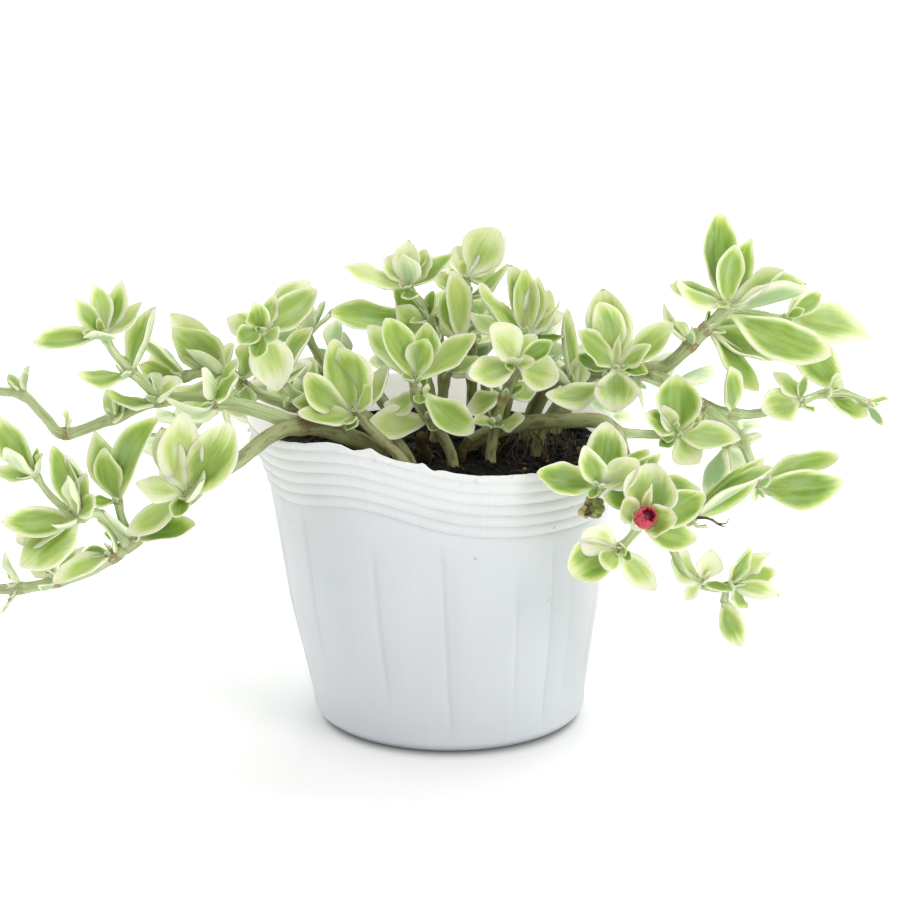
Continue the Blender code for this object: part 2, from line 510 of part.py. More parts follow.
def drain_cutter(number: int) -> bpy.types.Object:
    """Make the round cutter of one drain hole."""
    turn = math.tau * (number + 0.5) / DRAIN_HOLES
    place = Matrix.Translation((DRAIN_CIRCLE * math.cos(turn), DRAIN_CIRCLE * math.sin(turn), 0))
    cutter = bmesh.new()
    bmesh.ops.create_cone(cutter, cap_ends=True, segments=DRAIN_SIDES, radius1=DRAIN_RADIUS,
                          radius2=DRAIN_RADIUS, depth=4 * POT_BASE_THICK, matrix=place)
    return object_from("drain_cutter", cutter)


def soil_edge(height: float, angle: float) -> Vector:
    """The point of the soil's side that lies just inside the leaning wall.

    Args:
        height: the point's own height.
        angle: from the front, positive to the right.

    Returns:
        The point in millimetres.
    """
    straight = height
    for _ in range(12):
        straight = height - lift(straight, angle)
    radius = outline_radius(straight) - POT_WALL - CREASE_DEPTH - 2 * GAP
    if height < FOOT_ROUND:
        radius -= 1.5
    edge = leaned(radius, straight, angle)
    edge.z = height
    return edge


def soil_height(x: float, y: float) -> float:
    """Height of the uneven soil."""
    waves = math.sin(0.11 * x + 0.5) * math.cos(0.09 * y) + math.sin(0.21 * y)
    return SOIL_LEVEL + SOIL_WAVES * waves


def build_soil(cutters: list[bpy.types.Object]) -> bpy.types.Object:
    """Fill the pot with soil and sink a plain hole for each stem.

    Args:
        cutters: the shapes of the holes, which are used up.

    Returns:
        The soil's object.
    """
    profile = [(radius, SOIL_LEVEL) for radius in SOIL_RINGS]
    profile += [(SOIL_SIDE, height)
                for height in (SOIL_LEVEL - 0.5, BAND_BOTTOM - 4, FOOT_ROUND, SOIL_BOTTOM)]
    profile += [(0.0, SOIL_BOTTOM)]
    shape = bmesh.new()
    points = [shape.verts.new((radius, 0.0, height)) for radius, height in profile]
    edges = [shape.edges.new(pair) for pair in zip(points, points[1:])]
    bmesh.ops.spin(shape, geom=points + edges, cent=(0, 0, 0), axis=(0, 0, 1), angle=math.tau,
                   steps=POT_SIDES, use_merge=True)
    bmesh.ops.remove_doubles(shape, verts=shape.verts, dist=MERGE)
    for vertex in shape.verts:
        radius = math.hypot(vertex.co.x, vertex.co.y)
        if radius > SOIL_SIDE - 1.0:
            vertex.co = soil_edge(vertex.co.z, math.atan2(vertex.co.x, -vertex.co.y))
        elif vertex.co.z > SOIL_LEVEL - 1.0:
            vertex.co.z = soil_height(vertex.co.x, vertex.co.y)
            vertex.co.x += POT_LEAN * radius / SOIL_SIDE
    soil = object_from("soil", shape)
    combine(soil, cutters, "DIFFERENCE", "EXACT")
    return soil


def smooth_route(route: Iterable[Point], step: float) -> list[Vector]:
    """Points along a smooth curve through a route.

    Args:
        route: the points that the curve passes.
        step: about how far apart the new points lie.

    Returns:
        The new points, with both ends of the route among them.
    """
    knots = [Vector(point) for point in route]
    ghost = [knots[0] * 2 - knots[1], *knots, knots[-1] * 2 - knots[-2]]
    smooth = [knots[0]]
    for before, start, end, after in zip(ghost, ghost[1:], ghost[2:], ghost[3:]):
        count = max(1, round((end - start).length / step))
        for number in range(1, count + 1):
            t = number / count
            smooth.append(0.5 * (2 * start + (end - before) * t
                                 + (2 * before - 5 * start + 4 * end - after) * t ** 2
                                 + (3 * start - 3 * end + after - before) * t ** 3))
    return smooth


def stem_tube(name: str, route: list[Vector], radii: list[float]) -> bpy.types.Object:
    """Sweep a round tube along points in millimetres, from a curve with a bevel.

    Args:
        name: the object's name.
        route: the tube's points.
        radii: its radius at each point.

    Returns:
        The tube as a mesh object.
    """
    curve = bpy.data.curves.new(name, "CURVE")
    curve.dimensions = "3D"
    curve.bevel_depth = MM
    curve.bevel_resolution = STEM_RESOLUTION
    curve.use_fill_caps = True
    spline = curve.splines.new("POLY")
    spline.points.add(len(route) - 1)
    for point, place, radius in zip(spline.points, route, radii):
        point.co = (*(place * MM), 1.0)
        point.radius = radius
    guide = bpy.data.objects.new(name + "_guide", curve)
    bpy.context.scene.collection.objects.link(guide)
    bpy.context.view_layer.update()
    mesh = bpy.data.meshes.new_from_object(guide.evaluated_get(bpy.context.evaluated_depsgraph_get()))
    bpy.data.objects.remove(guide, do_unlink=True)
    shape = bmesh.new()
    shape.from_mesh(mesh)
    bmesh.ops.remove_doubles(shape, verts=shape.verts, dist=MERGE * MM)
    bmesh.ops.scale(shape, vec=(1 / MM, 1 / MM, 1 / MM), verts=shape.verts)
    return object_from(name, shape)


def stem_shape(name: str, stem: Stem) -> bpy.types.Object:
    """Make one stem of a shoot."""
    route = smooth_route(stem.route, STEM_STEP)
    route.append(route[-1] + (route[-1] - route[-2]).normalized() * STEM_BUD)
    last = len(route) - 1
    radii = [stem.radii[0] + (stem.radii[1] - stem.radii[0]) * number / last
             for number in range(last + 1)]
    return stem_tube(name, route, radii)


def hole_cutter(stem: Stem) -> bpy.types.Object:
    """Make the plain hole that a stem's foot stands in."""
    foot, above = Vector(stem.route[0]), Vector(stem.route[1])
    way = (above - foot).normalized()
    radius = stem.radii[0] + HOLE_PLAY
    route = [foot - way * 2 * GAP, foot + way * HOLE_LENGTH / 2, foot + way * HOLE_LENGTH]
    return stem_tube("hole_cutter", route, [radius, radius, radius + 1.0])


@dataclass(frozen=True)
class Blade:
    """One leaf: a thick, cupped and slightly hanging blade from base to tip."""

    base: Vector
    tip: Vector
    up: Vector                  # square to the blade, on its upper side
    width: float
    margin: float = 0.0         # added all round when room is tested

    def place(self, around: float, along: float) -> Vector:
        """A point of the leaf's skin.

        Args:
            around: angle about the midrib, from one edge over the upper side.
            along: zero at the base and one at the tip.

        Returns:
            The point in millimetres.
        """
        way = self.tip - self.base
        side = way.cross(self.up).normalized()
        swell = math.sin(math.pi * min(1.0, max(0.0, along)) ** LEAF_WIDEST) ** LEAF_FULL
        stalk = PETIOLE * min(1.0, (1.0 - along) * 4.0)
        half_width = 0.5 * self.width * max(swell, stalk) + self.margin
        thick = LEAF_THICK * min(1.0, 0.45 + 0.06 * self.width)
        half_thick = 0.5 * thick * min(1.0, 1.25 * (1.0 - along) + 0.2) + self.margin
        across = math.cos(around)
        droop = 4.0 * along * (1.0 - along) * LEAF_BOW * way.length
        rise = math.sin(around) * half_thick + LEAF_CUP * (half_width - self.margin) * across ** 2
        return self.base + way * along + side * across * half_width + self.up * (rise - droop)

    def shape(self, start: float | None = None) -> bmesh.types.BMesh:
        """The leaf as a few faces, made from a sphere that is drawn out into it.

        Args:
            start: where along the blade it begins, or None for its root in the stem.

        Returns:
            The new bmesh in millimetres.
        """
        if start is None:
            start = -LEAF_ROOT / (self.tip - self.base).length
        leaf = bmesh.new()
        rings = len(LEAF_STATIONS) - 1
        bmesh.ops.create_uvsphere(leaf, u_segments=LEAF_AROUND, v_segments=rings, radius=1.0)
        for vertex in leaf.verts:
            ring = round(rings * (1.0 - math.acos(max(-1.0, min(1.0, vertex.co.z))) / math.pi))
            along = start + (1.0 - start) * LEAF_STATIONS[ring]
            if ring in (0, rings):
                vertex.co = (self.place(0.0, along) + self.place(math.pi, along)) / 2
                continue
            turn = math.atan2(vertex.co.y, vertex.co.x) + LEAF_FIRST_CORNER
            vertex.co = self.place(turn * (1.5 if turn > 0.0 else 0.75), along)
        return leaf


def blade_from(at: Vector, axis: Vector, tip: Tip, order: int) -> Blade:
    """Lay out one leaf of a sprig.

    Args:
        at: the sprig's place.
        axis: the way its stem grows, which the leaf's upper side looks to.
        tip: the leaf's tip from the sprig, and its width.
        order: the leaf's number in the sprig, outer pairs first.

    Returns:
        The leaf.
    """
    end = at + Vector(tip[:3])
    base = at + axis * min(3, order // 2) * PAIR_STEP
    out = end - base - axis * axis.dot(end - base)
    base += out.normalized() * min(SOCKET, 0.5 * out.length)
    way = (end - base).normalized()
    up = axis - way * axis.dot(way)
    if up.length < 0.2:
        up = Vector((0, 0, 1)) - way * way.z
    return Blade(base, end, up.normalized(), tip[3])


def rule_sprigs(shoot: Shoot) -> list[Sprig]:
    """Set crossed pairs of leaves along a shoot's first stem, with seeded draws.

    Args:
        shoot: a shoot whose leaves aren't listed one by one.

    Returns:
        Its sprigs, the last of them at the stem's end.
    """
    draw = random.Random(shoot.seed)
    route = smooth_route(shoot.stems[0].route, 1.0)
    sprigs = []
    turn = draw.uniform(0.0, math.pi)
    number = RULE_BARE_FOOT
    while number < len(route) - RULE_BARE_END:
        way = (route[number + 1] - route[number - 1]).normalized()
        sprigs.append(Sprig(tuple(route[number]), tuple(way), pair_tips(way, turn, *RULE_PAIR, draw)))
        turn += math.pi / 2 + draw.uniform(-RULE_TURN_DRAW, RULE_TURN_DRAW)
        number += draw.randint(*RULE_PAIR_STEP)
    way = (route[-1] - route[-4]).normalized()
    tips: tuple[Tip, ...] = ()
    for length, opening in RULE_END_PAIRS:
        tips += pair_tips(way, turn, length, opening, draw)
        turn += math.pi / 2
    sprigs.append(Sprig(tuple(route[-1]), tuple(way), tips))
    return sprigs


def pair_tips(way: Vector, turn: float, length: float, opening: float,
              draw: random.Random) -> tuple[Tip, ...]:
    """The tips of two opposite leaves.

    Args:
        way: the way the stem grows.
        turn: the pair's angle about it.
        length: of the leaves, before the draw.
        opening: how far they stand off from the stem's way, in degrees.
        draw: the seeded draws.

    Returns:
        The two tips.
    """
    side = way.orthogonal().normalized()
    tips = []
    for half in (0.0, math.pi):
        about = turn + half + draw.uniform(-LEAF_TURN_DRAW, LEAF_TURN_DRAW)
        out = Matrix.Rotation(about, 3, way) @ side
        angle = math.radians(opening + draw.uniform(-OPENING_DRAW, OPENING_DRAW))
        reach = length * draw.uniform(1.0 - LENGTH_DRAW, 1.0 + LENGTH_DRAW)
        tip = (way * math.cos(angle) + out * math.sin(angle)) * reach
        tips.append((tip.x, tip.y, tip.z, 0.5 * reach))
    return tuple(tips)


class Room:
    """Keeps what is already placed, so that a new leaf can be bent clear of it."""

    def __init__(self) -> None:
        self.held: list[tuple[str, bool, Vector, Vector, BVHTree]] = []

    def hold(self, name: str, is_leaf: bool, shape: bmesh.types.BMesh) -> None:
        """Remember a shape of a node, in millimetres, and free it.

        Args:
            name: the node.
            is_leaf: false for a stem, the pot, the soil or the bud.
            shape: the shape.
        """
        low, high = box_of(shape)
        self.held.append((name, is_leaf, low, high, BVHTree.FromBMesh(shape)))
        shape.free()

    def is_clear(self, name: str, blade: Blade) -> tuple[bool, bool]:
        """Test a leaf against what is held.

        Args:
            name: the leaf's node.
            blade: the leaf.

        Returns:
            Whether it is clear of other nodes, and of its own node's leaves.
        """
        whole = replace(blade, margin=GAP).shape()
        outer = blade.shape(start=OUTER_HALF)
        low, high = box_of(whole)
        whole_tree = BVHTree.FromBMesh(whole)
        outer_tree = BVHTree.FromBMesh(outer)
        whole.free()
        outer.free()
        own_clear = True
        for other, is_leaf, other_low, other_high, tree in self.held:
            if any(low[i] > other_high[i] or high[i] < other_low[i] for i in range(3)):
                continue
            if other != name and whole_tree.overlap(tree):
                return False, False
            if other == name and own_clear and outer_tree.overlap(tree):
                own_clear = False
        return True, own_clear


def box_of(shape: bmesh.types.BMesh) -> tuple[Vector, Vector]:
    """Lowest and highest corner of a shape."""
    places = [vertex.co for vertex in shape.verts]
    low = Vector([min(place[i] for place in places) for i in range(3)])
    high = Vector([max(place[i] for place in places) for i in range(3)])
    return low, high


def bent(blade: Blade, turn: float, raise_by: float, size: float) -> Blade:
    """The same leaf turned about its base.

    Args:
        blade: the leaf.
        turn: degrees about its upper side's way.
        raise_by: degrees towards its upper side.
        size: the share of its size that it keeps.

    Returns:
        The bent leaf.
    """
    way = blade.tip - blade.base
    spin = Matrix.Rotation(math.radians(turn), 3, blade.up)
    side = way.cross(blade.up).normalized()
    tilt = Matrix.Rotation(math.radians(raise_by), 3, side)
    way = tilt @ (spin @ way)
    up = (tilt @ blade.up).normalized()
    return replace(blade, tip=blade.base + way * size, up=up, width=blade.width * size)


def settle(room: Room, name: str, blade: Blade) -> Blade | None:
    """Bend a leaf by the least that clears other nodes, and its own if that can be.

    Args:
        room: what is already placed.
        name: the leaf's node.
        blade: the leaf as laid out.

    Returns:
        The leaf that fits, or None where there is no room for it.
    """
    steps = sorted(((turn, raise_by) for turn in BEND_STEPS for raise_by in BEND_STEPS),
                   key=lambda pair: pair[0] ** 2 + pair[1] ** 2)
    for size in SIZE_STEPS:
        spare = None
        for turn, raise_by in steps:
            if spare is not None and math.hypot(turn, raise_by) > BEND_ENOUGH:
                break
            trial = bent(blade, turn, raise_by, size)
            others_clear, own_clear = room.is_clear(name, trial)
            if others_clear and own_clear:
                return trial
            if others_clear and spare is None:
                spare = trial
        if spare is not None:
            return spare
    return None


def bmesh_of(item: bpy.types.Object) -> bmesh.types.BMesh:
    """A copy of an object's mesh in millimetres."""
    shape = bmesh.new()
    shape.from_mesh(item.data)
    bmesh.ops.scale(shape, vec=(1 / MM, 1 / MM, 1 / MM), verts=shape.verts)
    return shape


def grow_leaves(room: Room) -> dict[str, list[Blade]]:
    """Settle every leaf, those seen from the front first.

    Args:
        room: what is already placed.

    Returns:
        The leaves of each shoot.
    """
    leaves: dict[str, list[Blade]] = {shoot.name: [] for shoot in SHOOTS}
    for shoot in SHOOTS:
        for sprig in shoot.sprigs or rule_sprigs(shoot):
            at, axis = Vector(sprig.at), Vector(sprig.axis).normalized()
            for order, tip in enumerate(sprig.tips):
                blade = settle(room, shoot.name, blade_from(at, axis, tip, order))
                if blade is None:
                    print("no room for a leaf of", shoot.name, "at", sprig.at)
                    continue
                room.hold(shoot.name, True, blade.shape())
                leaves[shoot.name].append(blade)
    return leaves


def axis_matrix(at: Point, axis: Point) -> Matrix:
    """A matrix that takes +Z to an axis through a point."""
    return Matrix.Translation(at) @ Vector(axis).to_track_quat("Z", "Y").to_matrix().to_4x4()


def build_bud() -> bpy.types.Object:
    """Make the closed red bud: petals wrapped into a blunt tip with a dent."""
    shape = bmesh.new()
    points = [shape.verts.new((radius, 0.0, height)) for radius, height in BUD_OUTLINE]
    edges = [shape.edges.new(pair) for pair in zip(points, points[1:])]
    bmesh.ops.spin(shape, geom=points + edges, cent=(0, 0, 0), axis=(0, 0, 1), angle=math.tau,
                   steps=BUD_SIDES, use_merge=True)
    bmesh.ops.remove_doubles(shape, verts=shape.verts, dist=MERGE)
    for vertex in shape.verts:
        turn = math.atan2(vertex.co.y, vertex.co.x)
        pinch = 1.0 + BUD_PINCH * math.cos(BUD_PETALS * turn)
        vertex.co.x *= pinch
        vertex.co.y *= pinch
    bmesh.ops.transform(shape, matrix=axis_matrix(BUD_AT, BUD_AXIS), verts=shape.verts)
    return object_from("flower_bud", shape)


def bud_cup() -> bpy.types.Object:
    """Make the green cup that the bud sits on, part of its shoot."""
    shape = bmesh.new()
    place = axis_matrix(BUD_AT, BUD_AXIS) @ Matrix.Translation((0, 0, -CUP_BELOW))
    bmesh.ops.create_cone(shape, cap_ends=True, segments=8, radius1=CUP_RADII[0], radius2=CUP_RADII[1],
                          depth=CUP_LENGTH, matrix=place)
    return object_from("bud_cup", shape)


def seed_capsule() -> bpy.types.Object:
    """Make the old seed capsule, a ribbed cup that is part of its shoot."""
    shape = bmesh.new()
    bmesh.ops.create_uvsphere(shape, u_segments=8, v_segments=4, radius=1.0)
    for vertex in shape.verts:
        turn = math.atan2(vertex.co.y, vertex.co.x)
        rib = 1.0 + CAPSULE_RIB_DEPTH * math.cos(CAPSULE_RIBS * turn)
        vertex.co.x *= rib
        vertex.co.y *= rib
    bmesh.ops.scale(shape, vec=CAPSULE_SIZE, verts=shape.verts)
    bmesh.ops.translate(shape, vec=CAPSULE_AT, verts=shape.verts)
    return object_from("seed_capsule", shape)


def build_plant(pot: bpy.types.Object, soil: bpy.types.Object) -> None:
    """Grow all shoots and the bud round the pot and the soil.

    Args:
        pot: the finished pot.
        soil: the finished soil.
    """
    green = finish("leaf", LEAF_COLOUR, 0.45)
    red = finish("petal", BUD_COLOUR, 0.45)
    room = Room()
    for item in (pot, soil):
        room.hold(item.name, False, bmesh_of(item))
    stems: dict[str, list[bpy.types.Object]] = {}
    for shoot in SHOOTS:
        stems[shoot.name] = [stem_shape(f"{shoot.name}_stem{number}", stem)
                             for number, stem in enumerate(shoot.stems)]
    stems[BUD_CARRIER] += [bud_cup(), seed_capsule()]
    for name, items in stems.items():
        for item in items:
            room.hold(name, False, bmesh_of(item))
    bud = build_bud()
    bud.data.materials.append(red)
    room.hold(bud.name, False, bmesh_of(bud))
    leaves = grow_leaves(room)
    for shoot in SHOOTS:
        pieces = stems[shoot.name][1:]
        pieces += [object_from("leaf", blade.shape()) for blade in leaves[shoot.name]]
        body = stems[shoot.name][0]
        body.name = shoot.name
        combine(body, pieces, "UNION", "MANIFOLD")
        drop_scraps(body)
        body.data.materials.clear()
        body.data.materials.append(green)
        for face in body.data.polygons:
            face.material_index = 0
        body.data.shade_smooth()
        body.data.set_sharp_from_angle(angle=SHARP_PLANT)


def main() -> None:
    """Build the whole part."""
    clear_scene()
    pot = build_pot()
    soil = build_soil([hole_cutter(shoot.stems[0]) for shoot in SHOOTS])
    for item, colour, roughness in ((pot, POT_COLOUR, 0.4), (soil, SOIL_COLOUR, 0.95)):
        item.data.materials.clear()
        item.data.materials.append(finish(item.name, colour, roughness))
        item.data.shade_smooth()
        item.data.set_sharp_from_angle(angle=SHARP_POT)
    build_plant(pot, soil)


main()
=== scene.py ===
"""Looks of the potted baby sun rose: leaves, stems, bud, soil and the thin white pot.

The plant is laid out in millimetres, as its solids are, and turned into metres when a mesh is made.
+X is to the right, +Y away from the viewer, +Z up, and the origin is the middle of the pot's base.
"""

import json
import logging
import math
import random
from dataclasses import dataclass, field, replace
from enum import Enum
from functools import cache
from typing import Callable, Iterable, Iterator

import bmesh
import bpy
from bmesh.types import BMEdge, BMesh, BMVert
from bpy.types import Material, Mesh, NodeSocket, Object
from mathutils import Matrix, Vector, noise
from mathutils.kdtree import KDTree

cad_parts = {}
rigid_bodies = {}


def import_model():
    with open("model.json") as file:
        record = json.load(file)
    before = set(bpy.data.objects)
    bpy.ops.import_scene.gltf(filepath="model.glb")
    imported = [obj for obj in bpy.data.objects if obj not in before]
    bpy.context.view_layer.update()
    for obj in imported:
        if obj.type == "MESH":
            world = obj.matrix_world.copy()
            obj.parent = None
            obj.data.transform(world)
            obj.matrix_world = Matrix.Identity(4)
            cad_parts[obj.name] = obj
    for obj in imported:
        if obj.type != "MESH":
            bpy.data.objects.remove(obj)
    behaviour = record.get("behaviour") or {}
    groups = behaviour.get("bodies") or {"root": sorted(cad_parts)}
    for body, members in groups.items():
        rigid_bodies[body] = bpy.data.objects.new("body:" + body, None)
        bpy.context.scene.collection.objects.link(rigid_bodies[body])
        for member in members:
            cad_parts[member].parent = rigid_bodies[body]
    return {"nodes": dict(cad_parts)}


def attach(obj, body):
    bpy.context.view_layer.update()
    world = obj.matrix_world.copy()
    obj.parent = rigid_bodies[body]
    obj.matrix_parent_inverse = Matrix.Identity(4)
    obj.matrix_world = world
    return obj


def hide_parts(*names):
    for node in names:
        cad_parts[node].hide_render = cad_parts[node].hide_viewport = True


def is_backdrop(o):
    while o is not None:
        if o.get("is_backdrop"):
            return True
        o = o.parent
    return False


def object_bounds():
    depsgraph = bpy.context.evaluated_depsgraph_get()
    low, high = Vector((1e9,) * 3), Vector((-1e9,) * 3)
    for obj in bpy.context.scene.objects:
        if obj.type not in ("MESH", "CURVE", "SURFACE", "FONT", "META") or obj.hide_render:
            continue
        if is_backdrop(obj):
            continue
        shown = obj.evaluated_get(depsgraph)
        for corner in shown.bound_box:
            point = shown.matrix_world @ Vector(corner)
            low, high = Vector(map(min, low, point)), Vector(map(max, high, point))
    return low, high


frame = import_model()
SOLID_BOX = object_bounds()

log = logging.getLogger("sun_rose")

MM = 0.001
MEETS = 0.005       # points closer than this, in millimetres, are one
Pair = tuple[float, float]
Point = tuple[float, float, float]
Tip = tuple[float, float, float, float]     # a leaf's tip seen from its sprig, and its width
Colour = tuple[float, float, float]


@dataclass(frozen=True)
class Sprig:
    """Leaves that leave a stem at one place; axis is the way their stem grows there."""

    at: Point
    axis: Point
    tips: tuple[Tip, ...]


@dataclass(frozen=True)
class Stem:
    """A stem through given points, with its radius at both ends."""

    route: tuple[Point, ...]
    radii: Pair


@dataclass(frozen=True)
class Shoot:
    """One leafy stem: the first stem stands in the soil and the others branch from it."""

    name: str
    stems: tuple[Stem, ...]
    sprigs: tuple[Sprig, ...] = field(default=())
    seed: int = 0               # above zero, pairs are set along the first stem by rule


